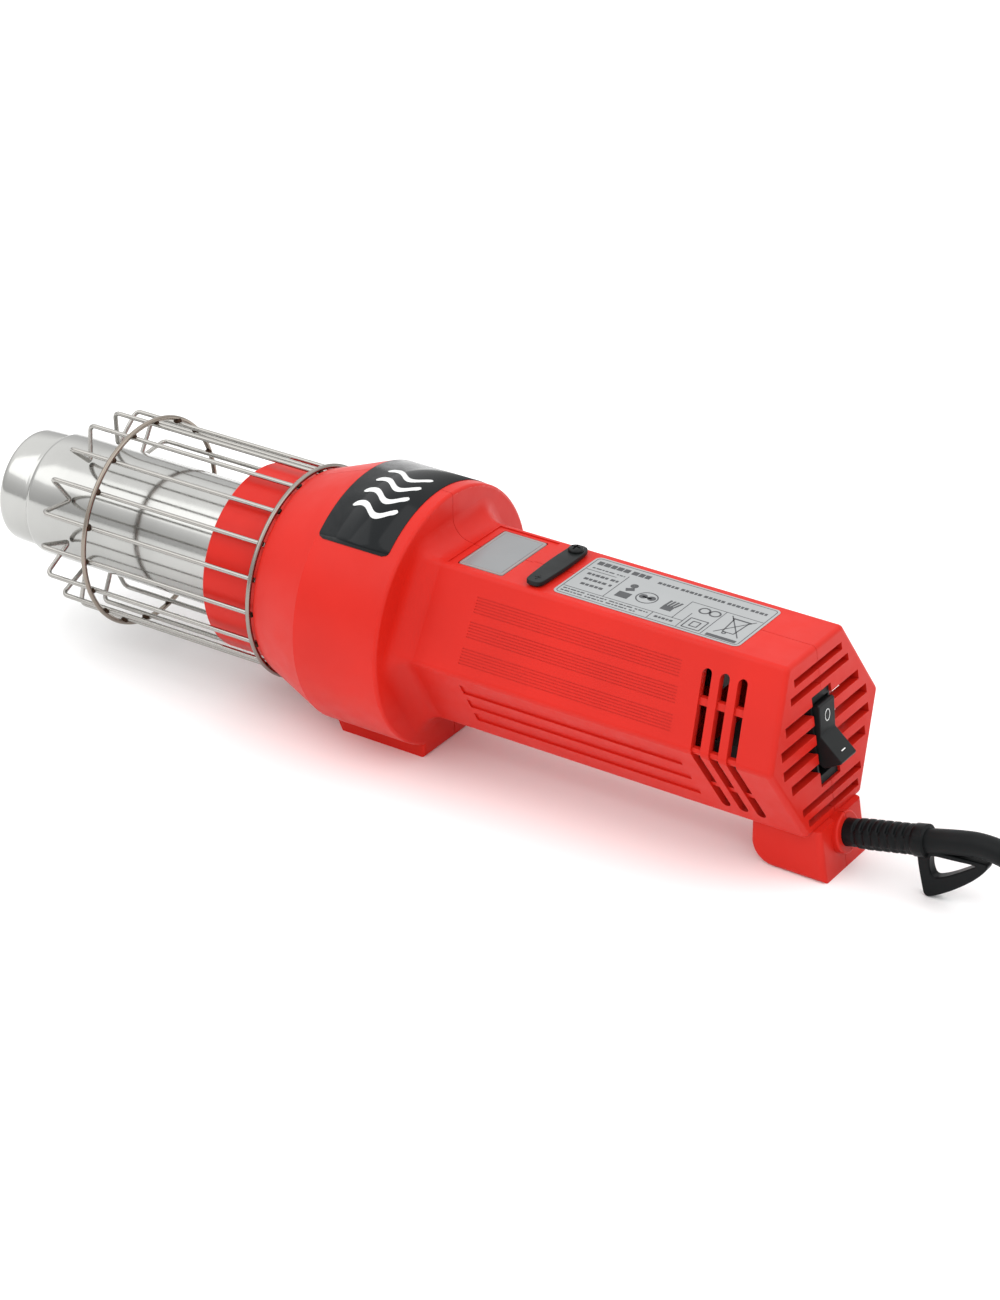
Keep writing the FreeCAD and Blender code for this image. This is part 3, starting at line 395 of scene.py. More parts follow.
class Graph:
    """A material's node tree, with short calls for adding and joining nodes."""

    def __init__(self, name: str) -> None:
        """Start a material with a plain shader.

        Args:
            name: the material's name.
        """
        self.material = bpy.data.materials.new(name)
        self.material.use_nodes = True
        self.tree = self.material.node_tree
        self.shader = self.tree.nodes["Principled BSDF"]

    def add(self, kind: str, **settings: object) -> bpy.types.Node:
        """Add a node and set its properties.

        Args:
            kind: the node's type.
            settings: its properties by name.

        Returns:
            The new node.
        """
        node = self.tree.nodes.new(kind)
        for key, value in settings.items():
            setattr(node, key, value)
        return node

    def join(self, source: bpy.types.NodeSocket, target: bpy.types.NodeSocket) -> None:
        """Join an output to an input."""
        self.tree.links.new(source, target)

    def place(self, scale: Colour = (1.0, 1.0, 1.0)) -> bpy.types.NodeSocket:
        """Read the object's own coordinates.

        Args:
            scale: how much they are scaled along each axis.

        Returns:
            The coordinates' socket.
        """
        coordinates = self.add("ShaderNodeTexCoord")
        mapping = self.add("ShaderNodeMapping")
        mapping.inputs["Scale"].default_value = scale
        self.join(coordinates.outputs["Object"], mapping.inputs["Vector"])
        return mapping.outputs["Vector"]

    def noise(self, scale: float, detail: float = 2.0,
              stretch: Colour = (1.0, 1.0, 1.0)) -> bpy.types.NodeSocket:
        """Make a noise texture.

        Args:
            scale: cells per metre.
            detail: octaves of finer noise.
            stretch: scale along each axis; under 1 draws the cells out.

        Returns:
            The noise value's socket.
        """
        node = self.add("ShaderNodeTexNoise")
        node.inputs["Scale"].default_value = scale
        node.inputs["Detail"].default_value = detail
        self.join(self.place(stretch), node.inputs["Vector"])
        return node.outputs["Fac"]

    def spread(self, value: bpy.types.NodeSocket, low: float, high: float,
               start: float = 0.3, end: float = 0.7) -> bpy.types.NodeSocket:
        """Map a value from one range onto another.

        Args:
            value: the value's socket.
            low: result at start.
            high: result at end.
            start: the value's lower end.
            end: the value's upper end.

        Returns:
            The mapped value's socket.
        """
        node = self.add("ShaderNodeMapRange")
        for name, number in (("From Min", start), ("From Max", end), ("To Min", low), ("To Max", high)):
            node.inputs[name].default_value = number
        self.join(value, node.inputs["Value"])
        return node.outputs["Result"]

    def ramp(self, value: bpy.types.NodeSocket, stops: Sequence[tuple[float, Colour]]) -> bpy.types.NodeSocket:
        """Turn a value into a colour.

        Args:
            value: the value's socket.
            stops: (position, colour) pairs along the ramp.

        Returns:
            The colour's socket.
        """
        node = self.add("ShaderNodeValToRGB")
        elements = node.color_ramp.elements
        while len(elements) < len(stops):
            elements.new(0.5)
        for element, (position, colour) in zip(elements, stops):
            element.position = position
            element.color = (*colour, 1.0)
        self.join(value, node.inputs["Fac"])
        return node.outputs["Color"]

    def bump(self, height: bpy.types.NodeSocket, depth: float, strength: float = 1.0,
             below: bpy.types.NodeSocket | None = None) -> bpy.types.NodeSocket:
        """Return a normal bumped by a height.

        Args:
            height: the height, from 0 to 1.
            depth: the height's depth in millimetres.
            strength: how much of it counts.
            below: a normal that this one builds on.

        Returns:
            The bumped normal.
        """
        node = self.add("ShaderNodeBump")
        node.inputs["Distance"].default_value = depth * MM
        node.inputs["Strength"].default_value = strength
        self.join(height, node.inputs["Height"])
        if below is not None:
            self.join(below, node.inputs["Normal"])
        return node.outputs["Normal"]

    def set(self, **sockets: float) -> None:
        """Set the shader's own sockets; an underscore in a name stands for a space."""
        for name, value in sockets.items():
            self.shader.inputs[name.replace("_", " ")].default_value = value


@dataclass(frozen=True)
class Plastic:
    """Moulded plastic with a spark-eroded grain and faint colour drift."""

    name: str
    colour: Colour
    roughness: float = 0.4
    grain: float = 2400.0
    grain_depth: float = 0.02
    drift: float = 0.06
    coat: float = 0.0
    shine: float = 0.35

    def build(self) -> bpy.types.Material:
        """Make the material."""
        g = Graph(self.name)
        dark = tuple(c * (1 - self.drift) for c in self.colour)
        light = tuple(min(1.0, c * (1 + self.drift)) for c in self.colour)
        g.join(g.ramp(g.noise(22.0, 4.0), [(0.35, dark), (0.65, light)]), g.shader.inputs["Base Color"])
        sheen = g.spread(g.noise(130.0, 3.0), self.roughness - 0.05, self.roughness + 0.06)
        g.join(sheen, g.shader.inputs["Roughness"])
        g.join(g.bump(g.noise(self.grain, 2.0), self.grain_depth, 0.35), g.shader.inputs["Normal"])
        g.set(Coat_Weight=self.coat, Coat_Roughness=0.18, Specular_IOR_Level=self.shine)
        return g.material


@dataclass(frozen=True)
class BrushedTube:
    """Polished sheet steel with fine marks that run round the barrel."""

    name: str
    colour: Colour = (0.80, 0.795, 0.78)
    roughness: float = 0.11
    cloud: float = 0.05

    def build(self) -> bpy.types.Material:
        """Make the material."""
        g = Graph(self.name)
        dull = tuple(c * 0.86 for c in self.colour)
        clouds = g.noise(30.0, 5.0, (1.0, 0.6, 0.6))
        g.join(g.ramp(clouds, [(0.3, dull), (0.7, self.colour)]), g.shader.inputs["Base Color"])
        marks = g.noise(900.0, 3.0, (1.0, 0.05, 0.05))
        g.join(g.spread(marks, self.roughness, self.roughness + self.cloud), g.shader.inputs["Roughness"])
        g.join(g.bump(marks, 0.004, 0.4), g.shader.inputs["Normal"])
        g.set(Metallic=1.0)
        return g.material


@dataclass(frozen=True)
class TintedWire:
    """Drawn wire that browns towards the welds, read from the mesh's heat attribute."""

    name: str
    colour: Colour = (0.36, 0.35, 0.33)
    roughness: float = 0.24

    def build(self) -> bpy.types.Material:
        """Make the material."""
        g = Graph(self.name)
        heat = g.add("ShaderNodeAttribute", attribute_name="heat")
        spots = g.add("ShaderNodeMath", operation="MULTIPLY")
        g.join(heat.outputs["Fac"], spots.inputs[0])
        g.join(g.spread(g.noise(700.0, 3.0), 0.55, 1.25), spots.inputs[1])
        stops = [(0.0, self.colour), (0.3, (0.24, 0.19, 0.14)), (0.6, (0.12, 0.07, 0.04)),
                 (0.95, (0.025, 0.018, 0.015))]
        g.join(g.ramp(spots.outputs[0], stops), g.shader.inputs["Base Color"])
        g.join(g.spread(spots.outputs[0], self.roughness, 0.6, 0.0, 1.0), g.shader.inputs["Roughness"])
        g.join(g.bump(g.noise(1500.0, 3.0, (0.2, 1.0, 1.0)), 0.02, 0.5), g.shader.inputs["Normal"])
        g.set(Metallic=1.0)
        return g.material


@dataclass(frozen=True)
class PlainMetal:
    """Machined, plated or cast metal with a mottled sheen."""

    name: str
    colour: Colour
    roughness: float = 0.35
    grain: float = 400.0

    def build(self) -> bpy.types.Material:
        """Make the material."""
        g = Graph(self.name)
        dull = tuple(c * 0.7 for c in self.colour)
        g.join(g.ramp(g.noise(90.0, 4.0), [(0.3, dull), (0.7, self.colour)]), g.shader.inputs["Base Color"])
        sheen = g.spread(g.noise(self.grain, 3.0), self.roughness - 0.08, self.roughness + 0.1)
        g.join(sheen, g.shader.inputs["Roughness"])
        g.join(g.bump(g.noise(self.grain * 3, 2.0), 0.01, 0.4), g.shader.inputs["Normal"])
        g.set(Metallic=1.0)
        return g.material


@dataclass(frozen=True)
class MicaSheet:
    """Flaky mica board with pale glints."""

    name: str = "mica"

    def build(self) -> bpy.types.Material:
        """Make the material."""
        g = Graph(self.name)
        flakes = g.add("ShaderNodeTexVoronoi")
        flakes.inputs["Scale"].default_value = 600.0
        g.join(g.place(), flakes.inputs["Vector"])
        stops = [(0.0, (0.33, 0.25, 0.15)), (0.5, (0.52, 0.43, 0.28)), (1.0, (0.72, 0.66, 0.5))]
        g.join(g.ramp(flakes.outputs["Color"], stops), g.shader.inputs["Base Color"])
        g.join(g.spread(g.noise(300.0), 0.3, 0.6), g.shader.inputs["Roughness"])
        g.join(g.bump(flakes.outputs["Distance"], 0.05, 0.4), g.shader.inputs["Normal"])
        return g.material


@dataclass(frozen=True)
class CircuitBoard:
    """Green board with tracks under its solder resist."""

    name: str = "circuit_board"

    def build(self) -> bpy.types.Material:
        """Make the material."""
        g = Graph(self.name)
        tracks = g.add("ShaderNodeTexBrick")
        tracks.inputs["Scale"].default_value = 160.0
        tracks.inputs["Mortar Size"].default_value = 0.03
        tracks.inputs["Color1"].default_value = (0.01, 0.10, 0.045, 1)
        tracks.inputs["Color2"].default_value = (0.015, 0.13, 0.06, 1)
        tracks.inputs["Mortar"].default_value = (0.06, 0.26, 0.11, 1)
        g.join(g.place(), tracks.inputs["Vector"])
        g.join(tracks.outputs["Color"], g.shader.inputs["Base Color"])
        g.join(g.spread(g.noise(200.0), 0.25, 0.4), g.shader.inputs["Roughness"])
        g.join(g.bump(tracks.outputs["Fac"], 0.03, 0.5), g.shader.inputs["Normal"])
        return g.material


@dataclass(frozen=True)
class Finishes:
    """Every finish of the tool, built once."""

    shell: bpy.types.Material
    tube: bpy.types.Material
    wire: bpy.types.Material
    front_ring: bpy.types.Material
    rear_ring: bpy.types.Material
    weld: bpy.types.Material
    black: bpy.types.Material
    gloss: bpy.types.Material
    rubber: bpy.types.Material
    relief: bpy.types.Material
    foil: bpy.types.Material
    ink: bpy.types.Material
    paint: bpy.types.Material
    lens: bpy.types.Material
    glass_edge: bpy.types.Material
    screw: bpy.types.Material
    iron: bpy.types.Material
    aluminium: bpy.types.Material
    element: bpy.types.Material
    mica: bpy.types.Material
    board: bpy.types.Material
    pale: bpy.types.Material
    pin: bpy.types.Material
    tie: bpy.types.Material

    @classmethod
    def build(cls) -> "Finishes":
        """Make all the materials."""
        return cls(
            shell=Plastic("red_shell", (0.55, 0.014, 0.007), 0.40, 2300.0, 0.04, 0.05, shine=0.2).build(),
            tube=BrushedTube("polished_tube", (0.45, 0.45, 0.435)).build(),
            wire=TintedWire("tinted_wire").build(),
            front_ring=TintedWire("straw_ring", (0.27, 0.235, 0.2)).build(),
            rear_ring=TintedWire("dull_ring", (0.27, 0.245, 0.22)).build(),
            weld=PlainMetal("burnt_weld", (0.05, 0.03, 0.02), 0.5, 900.0).build(),
            black=Plastic("black_moulding", (0.008, 0.0095, 0.01), 0.45, 2600.0, 0.02, 0.1, shine=0.2).build(),
            gloss=Plastic("badge_film", (0.004, 0.0055, 0.0065), 0.13, 900.0, 0.006, 0.1, shine=0.2).build(),
            rubber=Plastic("cord_sheath", (0.006, 0.007, 0.0075), 0.5, 1800.0, 0.03, 0.15, shine=0.13).build(),
            relief=Plastic("relief_sleeve", (0.004, 0.005, 0.0055), 0.4, 1500.0, 0.03, 0.12,
                           shine=0.13).build(),
            foil=Plastic("plate_foil", (0.32, 0.33, 0.333), 0.34, 1800.0, 0.01, 0.04).build(),
            ink=Plastic("plate_ink", (0.05, 0.052, 0.056), 0.4, 1500.0, 0.005, 0.2).build(),
            paint=Plastic("pale_print", (0.82, 0.83, 0.82), 0.35, 1500.0, 0.005, 0.03).build(),
            lens=Plastic("display_face", (0.21, 0.22, 0.225), 0.2, 700.0, 0.004, 0.06, shine=0.4).build(),
            glass_edge=Plastic("display_edge", (0.25, 0.215, 0.21), 0.16, 700.0, 0.004, 0.06,
                               shine=0.5).build(),
            screw=PlainMetal("plated_screw", (0.5, 0.5, 0.5), 0.32).build(),
            iron=PlainMetal("motor_iron", (0.2, 0.2, 0.21), 0.45).build(),
            aluminium=PlainMetal("extruded_aluminium", (0.12, 0.12, 0.12), 0.45).build(),
            element=PlainMetal("resistance_wire", (0.22, 0.2, 0.19), 0.5).build(),
            mica=MicaSheet().build(),
            board=CircuitBoard().build(),
            pale=Plastic("pale_moulding", (0.05, 0.05, 0.05), 0.45, 2000.0, 0.02, 0.05).build(),
            pin=PlainMetal("nickel_pin", (0.66, 0.64, 0.6), 0.2).build(),
            tie=Plastic("cord_tie", (0.02, 0.02, 0.02), 0.35, 900.0, 0.02, 0.1).build())


# ---- pieces in common ----------------------------------------------------------------------------


@dataclass
class Assembly:
    """Base of every sub-assembly: knows the frame's nodes and the finishes."""

    nodes: dict[str, bpy.types.Object]
    finishes: Finishes

    def dress(self, node: str, finish: bpy.types.Material) -> bpy.types.Object:
        """Give a carried-over node its finish and report it.

        Args:
            node: the node's name.
            finish: its material.

        Returns:
            The node's object.
        """
        obj = self.nodes[node]
        obj.data.materials.clear()
        obj.data.materials.append(finish)
        LOG.info("node %-18s wears %s", node, finish.name)
        return obj

    def fit(self, obj: bpy.types.Object, finish: bpy.types.Material, body: Body, slot: Slot,
            *stands_for: str) -> bpy.types.Object:
        """Finish a new piece and set it on its body.

        Args:
            obj: the piece.
            finish: its material.
            body: the body it rides on.
            slot: the slot of its finish; not used.
            stands_for: the nodes that it replaces.

        Returns:
            The same piece.
        """
        obj.data.materials.clear()
        obj.data.materials.append(finish)
        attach(obj, body.value)
        if stands_for:
            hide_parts(*stands_for)
        count = len(obj.data.polygons) if obj.type == "MESH" else 0
        replaced = ", ".join(stands_for) or "-"
        LOG.info("piece %-20s on %-8s %6d faces, for %s", obj.name, body.value, count, replaced)
        return obj


# ---- camera and lights ---------------------------------------------------------------------------


@dataclass
class SoftBox:
    """A square soft light aimed at the tool."""

    name: str
    place: Point
    size: float
    power: float
    aim: Point = (0.0, 0.0, 50.0)

    def build(self) -> bpy.types.Object:
        """Hang the light and aim it."""
        data = bpy.data.lights.new(self.name, "AREA")
        data.energy = self.power
        data.size = self.size * MM
        light = bpy.data.objects.new(self.name, data)
        light.location = Vector(self.place) * MM
        direction = (Vector(self.aim) - Vector(self.place)).normalized()
        light.rotation_mode = "QUATERNION"
        light.rotation_quaternion = direction.to_track_quat("-Z", "Y")
        bpy.context.scene.collection.objects.link(light)
        return light


@dataclass
class Studio:
    """Camera, pale floor, soft boxes and an even sky."""

    camera_place: Point = (694.44, -991.4, 689.55)
    azimuth: float = 33.595
    elevation: float = 28.519
    lens: float = 102.316
    sensor: float = 36.0
    floor_reach: float = 6.0
    sky: tuple[Pair, ...] = ((0.0, 0.7), (0.3, 0.95), (0.6, 1.5), (1.0, 1.5))
    boxes: tuple[SoftBox, ...] = (
        SoftBox("key_box", (-700.0, -900.0, 1500.0), 1600.0, 7.0),
        SoftBox("side_box", (1200.0, 100.0, 1300.0), 1200.0, 4.0),
    )

    def camera(self) -> None:
        """Stand the camera at the tool's rear left."""
        data = bpy.data.cameras.new("studio_camera")
        data.lens = self.lens
        data.sensor_width = self.sensor
        data.clip_start = 0.05
        data.clip_end = 50.0
        camera = bpy.data.objects.new("studio_camera", data)
        camera.location = Vector(self.camera_place) * MM
        camera.rotation_euler = (math.radians(90 - self.elevation), 0.0, math.radians(self.azimuth))
        bpy.context.scene.collection.objects.link(camera)
        bpy.context.scene.camera = camera
        LOG.info("camera at %s mm", self.camera_place)

    def make_sky(self) -> bpy.types.World:
        """Make the sky, whose brightness follows the height as the sky field says."""
        world = bpy.data.worlds.new("even_sky")
        world.use_nodes = True
        nodes, links = world.node_tree.nodes, world.node_tree.links
        direction = nodes.new("ShaderNodeTexCoord")
        height = nodes.new("ShaderNodeSeparateXYZ")
        shade = nodes.new("ShaderNodeValToRGB")
        brightest = max(value for _, value in self.sky)
        while len(shade.color_ramp.elements) < len(self.sky):
            shade.color_ramp.elements.new(0.5)
        for element, (position, value) in zip(shade.color_ramp.elements, self.sky):
            element.position = position
            element.color = (value / brightest, value / brightest, value / brightest, 1.0)
        links.new(direction.outputs["Generated"], height.inputs["Vector"])
        links.new(height.outputs["Z"], shade.inputs["Fac"])
        links.new(shade.outputs["Color"], nodes["Background"].inputs["Color"])
        nodes["Background"].inputs["Strength"].default_value = brightest
        return world

    def make_floor(self) -> bpy.types.Object:
        """Make the pale sheet that the tool lies on."""
        reach = self.floor_reach
        corners = [Vector((x * reach, y * reach, 0.0)) for x, y in ((-1, -1), (1, -1), (1, 1), (-1, 1))]
        floor = MeshMaker.from_faces("floor", corners, [(0, 1, 2, 3)], smooth=False)
        g = Graph("floor_sheet")
        pale = g.ramp(g.noise(3.0), [(0.3, (0.965, 0.965, 0.965)), (0.7, (0.98, 0.98, 0.98))])
        g.join(pale, g.shader.inputs["Base Color"])
        g.set(Roughness=0.9, Specular_IOR_Level=0.1)
        floor.data.materials.append(g.material)
        return floor

    def light(self) -> None:
        """Hang the lights, set the sky and lay the floor."""
        for box in self.boxes:
            box.build()
        bpy.context.scene.view_settings.view_transform = "Standard"
        bpy.context.scene.world = self.make_sky()
        floor = self.make_floor()
        floor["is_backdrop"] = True
        LOG.info("studio lit by %d soft boxes", len(self.boxes))


# ---- mains lead ----------------------------------------------------------------------------------


@dataclass
class MainsLead(Assembly):
    """Cord, coil, strain relief with its hanging eye, tie and plug."""

    diameter: float = 9.0
    route: tuple[Point, ...] = (
        (213.9, 0.0, 21.2), (224.2, 0.0, 24.2), (236.0, 0.0, 26.6), (249.6, -0.6, 24.6), (263.2, -2.6, 20.0),
        (275.6, -5.8, 13.8), (288.0, -9.4, 9.4), (302.0, -13.0, 6.6), (317.0, -15.4, 5.5), (332.0, -16.4, 5.1))
    tail: tuple[Point, ...] = (
        (324.2, 95.7, 14.3), (311.7, 92.3, 16.0), (299.1, 88.9, 18.2), (289.5, 86.3, 18.9))
    coil_centre: Pair = (350.0, 42.0)
    plug_heading: float = 195.0
    outer_turn: float = 58.5
    low: float = 5.1
    turned: Pair = (-90.0, 1905.0)
    step: float = 15.0
    shifts: tuple[tuple[float, float, float, float], ...] = (
        (200.0, 250.0, -9.0, 0.0), (560.0, 610.0, -9.0, 0.0), (870.0, 920.0, 0.0, 9.0),
        (1180.0, 1230.0, 9.0, 0.0), (1540.0, 1590.0, 9.0, 0.0))
    relief_root: Point = (363.6, 0.0, -37.6)
    relief_tilt: float = 12.5
    relief_length: float = 35.2
    buried: float = 14.0
    core: float = 5.05
    swell: float = 0.2
    ribs: Pair = (7.2, 30.4)
    collar: Pair = (31.2, 5.95)
    rib_pitch: float = 3.3
    slot_share: float = 0.42
    coil: list[Point] = field(default_factory=list)

    def wind(self) -> None:
        """Lay the coil's turns: three inwards along the surface, then three outwards on top of them.

        Each shift holds the angles where it starts and ends, and what it adds to the radius and the height.
        """
        angle, last_angle = self.turned
        while angle <= last_angle:
            radius, height = self.outer_turn, self.low
            for start, end, outwards, rise in self.shifts:
                share = min(1.0, max(0.0, (angle - start) / (end - start)))
                radius += outwards * share
                height += rise * share
            # The spline runs inside its points, so they stand this much further out.
            radius /= math.cos(math.radians(self.step / 2))
            a = math.radians(angle)
            x, y = self.coil_centre
            self.coil.append((x + radius * math.cos(a), y + radius * math.sin(a), height))
            angle += self.step

    def lay_cord(self) -> bpy.types.Object:
        """Make the cord as one spline from the relief through its coil to the plug."""
        self.wind()
        points = list(self.route) + self.coil + list(self.tail)
        data = bpy.data.curves.new("mains_cord", "CURVE")
        data.dimensions = "3D"
        data.resolution_u = 6
        data.bevel_depth = self.diameter / 2 * MM
        data.bevel_resolution = 6
        data.use_fill_caps = True
        spline = data.splines.new("NURBS")
        spline.points.add(len(points) - 1)
        for point, place in zip(spline.points, points):
            point.co = (*(Vector(place) * MM), 1.0)
        spline.order_u = 3
        spline.use_endpoint_u = True
        cord = bpy.data.objects.new("mains_cord", data)
        bpy.context.scene.collection.objects.link(cord)
        return self.fit(cord, self.finishes.rubber, Body.TOOL, Slot.RUBBER, "cord", "cord_coil", "cord_tail")

    def relief_point(self, along: float, y: float, up: float) -> Vector:
        """Place a point of the relief's own frame.

        Args:
            along: distance from the boss along the relief's axis.
            y: distance across.
            up: distance out of the axis, upwards.

        Returns:
            The row-frame point in metres.
        """
        tilt = math.radians(self.relief_tilt)
        s, _, z = self.relief_root
        return axial(s + along * math.cos(tilt) - up * math.sin(tilt), y,
                     z + along * math.sin(tilt) + up * math.cos(tilt))

    def sleeve(self) -> bpy.types.Object:
        """Make the slotted sleeve: ribs above and below, joined by smooth bands at the sides."""
        sides, step = 56, 0.3
        rows = []
        for number in range(int((self.relief_length + self.buried) / step) + 1):
            along = number * step - self.buried
            row = []
            for j in range(sides):
                a = 2 * math.pi * j / sides
                radius = self.sleeve_radius(along, a)
                row.append(self.relief_point(along, radius * math.cos(a), radius * math.sin(a)))
            rows.append(row)
        return MeshMaker.skin("relief_sleeve", rows)

    def sleeve_radius(self, along: float, angle: float) -> float:
        """Return the sleeve's radius at a place on it.

        Args:
            along: distance from the boss along the axis.
            angle: angle round the axis from the +Y side.

        Returns:
            The radius in millimetres.
        """
        first, last = self.ribs
        swell_start, swell_length = 6.5, 6.0
        root = self.core + self.swell * min(1.0, max(0.0, (along - swell_start) / swell_length))
        if not first < along < last:
            return self.collar[1] if along > self.collar[0] else root
        upright = abs(math.sin(angle))
        top_or_bottom, side = upright > 0.62, upright < 0.30
        phase = ((along - first) % self.rib_pitch) / self.rib_pitch
        if phase >= self.slot_share:
            return root + (0.3 if top_or_bottom else 0.0)
        depth = 1.0 if top_or_bottom else (0.45 if side else 0.12)
        slope = 0.08
        return root - depth * max(0.0, min(1.0, phase / slope, (self.slot_share - phase) / slope))

    def eye(self) -> bpy.types.Object:
        """Make the flat strap that loops down under the cord from the sleeve's end ring."""
        outer = smooth_loop([(394.4, -33.0), (395.6, -40.0), (397.8, -48.6), (398.6, -50.9), (400.8, -51.0),
                             (408.2, -46.4), (416.6, -39.4), (421.6, -33.4), (422.0, -30.9), (419.6, -30.8),
                             (411.0, -31.6), (401.0, -32.0)], 6)
        inner = smooth_loop([(399.8, -34.4), (399.7, -38.0), (400.6, -41.4), (401.8, -42.6), (403.4, -42.2),
                             (407.2, -40.2), (411.8, -37.0), (416.2, -33.8), (417.4, -32.9), (415.4, -32.8),
                             (408.4, -33.6), (402.4, -34.0)], 6)
        strap = MeshMaker.slab("hanging_eye", outer, -2.35, 2.35, lambda s, z, y: axial(s, y, z), inner)
        return MeshMaker.soften(strap, 0.7, 3, 50)

    def ring(self) -> bpy.types.Object:
        """Make the thick ring at the sleeve's end."""
        profile = [(30.4, 4.6), (30.4, 5.5), (30.9, 5.95), (34.7, 5.95), (35.15, 5.5), (35.15, 4.6)]
        return MeshMaker.lathe("relief_ring", profile, 48, self.relief_point)

    def plug_point(self, along: float, across: float, up: float) -> Vector:
        """Place a point of the plug's frame.

        Args:
            along: distance from the cord along the plug's axis.
            across: distance across, level with the floor.
            up: height over the axis.

        Returns:
            The row-frame point in metres.
        """
        a = math.radians(self.plug_heading)
        x, y, z = self.tail[-1]
        return Vector((x + along * math.cos(a) - across * math.sin(a),
                       y + along * math.sin(a) + across * math.cos(a), z + up)) * MM

    def plug(self) -> list[bpy.types.Object]:
        """Make the round plug: a body with grip ribs, and two pins."""
        profile = [(0.05, 0.1), (0.05, 5.2), (0.6, 6.0)]
        for index in range(4):
            base, high = 2.2 + index * 2.8, 6.3 + index * 0.25
            low = high - 0.9
            profile += [(base, high), (base + 0.3, low), (base + 1.2, low), (base + 1.5, high)]
        profile += [(14.4, 7.4), (17.5, 10.6), (20.5, 13.6), (24.0, 15.9), (29.0, 17.0), (36.0, 17.3),
                    (39.0, 18.3), (41.0, 18.4), (56.6, 18.4), (57.6, 18.0), (57.95, 17.2), (57.95, 0.1)]
        pin = [(58.05, 0.05), (58.05, 2.0), (68.5, 2.0), (68.6, 2.38), (76.0, 2.38), (76.8, 1.9), (76.95, 0.9),
               (76.95, 0.05)]
        pins = [MeshMaker.lathe(f"plug_pin_{index}", pin, 28,
                                lambda a, y, z, side=side: self.plug_point(a, y + side, z))
                for index, side in enumerate((-9.5, 9.5))]
        body = MeshMaker.lathe("plug_grip", profile, 72, self.plug_point)
        return [body, MeshMaker.join("plug_pin_pair", pins)]

    def tie(self) -> bpy.types.Object:
        """Make the thin strap that holds the coil's turns together."""
        x, y = self.coil_centre
        outline = [(-63.5, 0.05), (-63.5, 16.0), (-61.0, 19.1), (-38.0, 19.1), (-35.5, 16.0), (-35.5, 0.05)]
        inner = [(-63.15, 0.45), (-63.15, 15.9), (-60.9, 18.75), (-38.1, 18.75), (-35.85, 15.9),
                 (-35.85, 0.45)]
        band = MeshMaker.slab("coil_tie", outline, -2.4, 2.4,
                              lambda a, z, b: Vector((x + a, y + b, z)) * MM, inner)
        return MeshMaker.soften(band, 0.1, 2)

    def build(self) -> None:
        """Make every piece of the lead."""
        cord = self.lay_cord()
        sleeve = self.fit(self.sleeve(), self.finishes.relief, Body.TOOL, Slot.RUBBER, "strain_relief")
        ring = self.fit(self.ring(), self.finishes.relief, Body.TOOL, Slot.RUBBER)
        eye = self.fit(self.eye(), self.finishes.relief, Body.TOOL, Slot.RUBBER)
        grip, pins = self.plug()
        self.fit(grip, self.finishes.black, Body.TOOL, Slot.BLACK, "plug_body")
        self.fit(pins, self.finishes.pin, Body.TOOL, Slot.STEEL, "plug_pins")
        tie = self.fit(self.tie(), self.finishes.tie, Body.TOOL, Slot.BLACK, "cord_tie")
        tuple(Vector(self.route[0]) * MM)


# ---- nozzle and guard ----------------------------------------------------------------------------


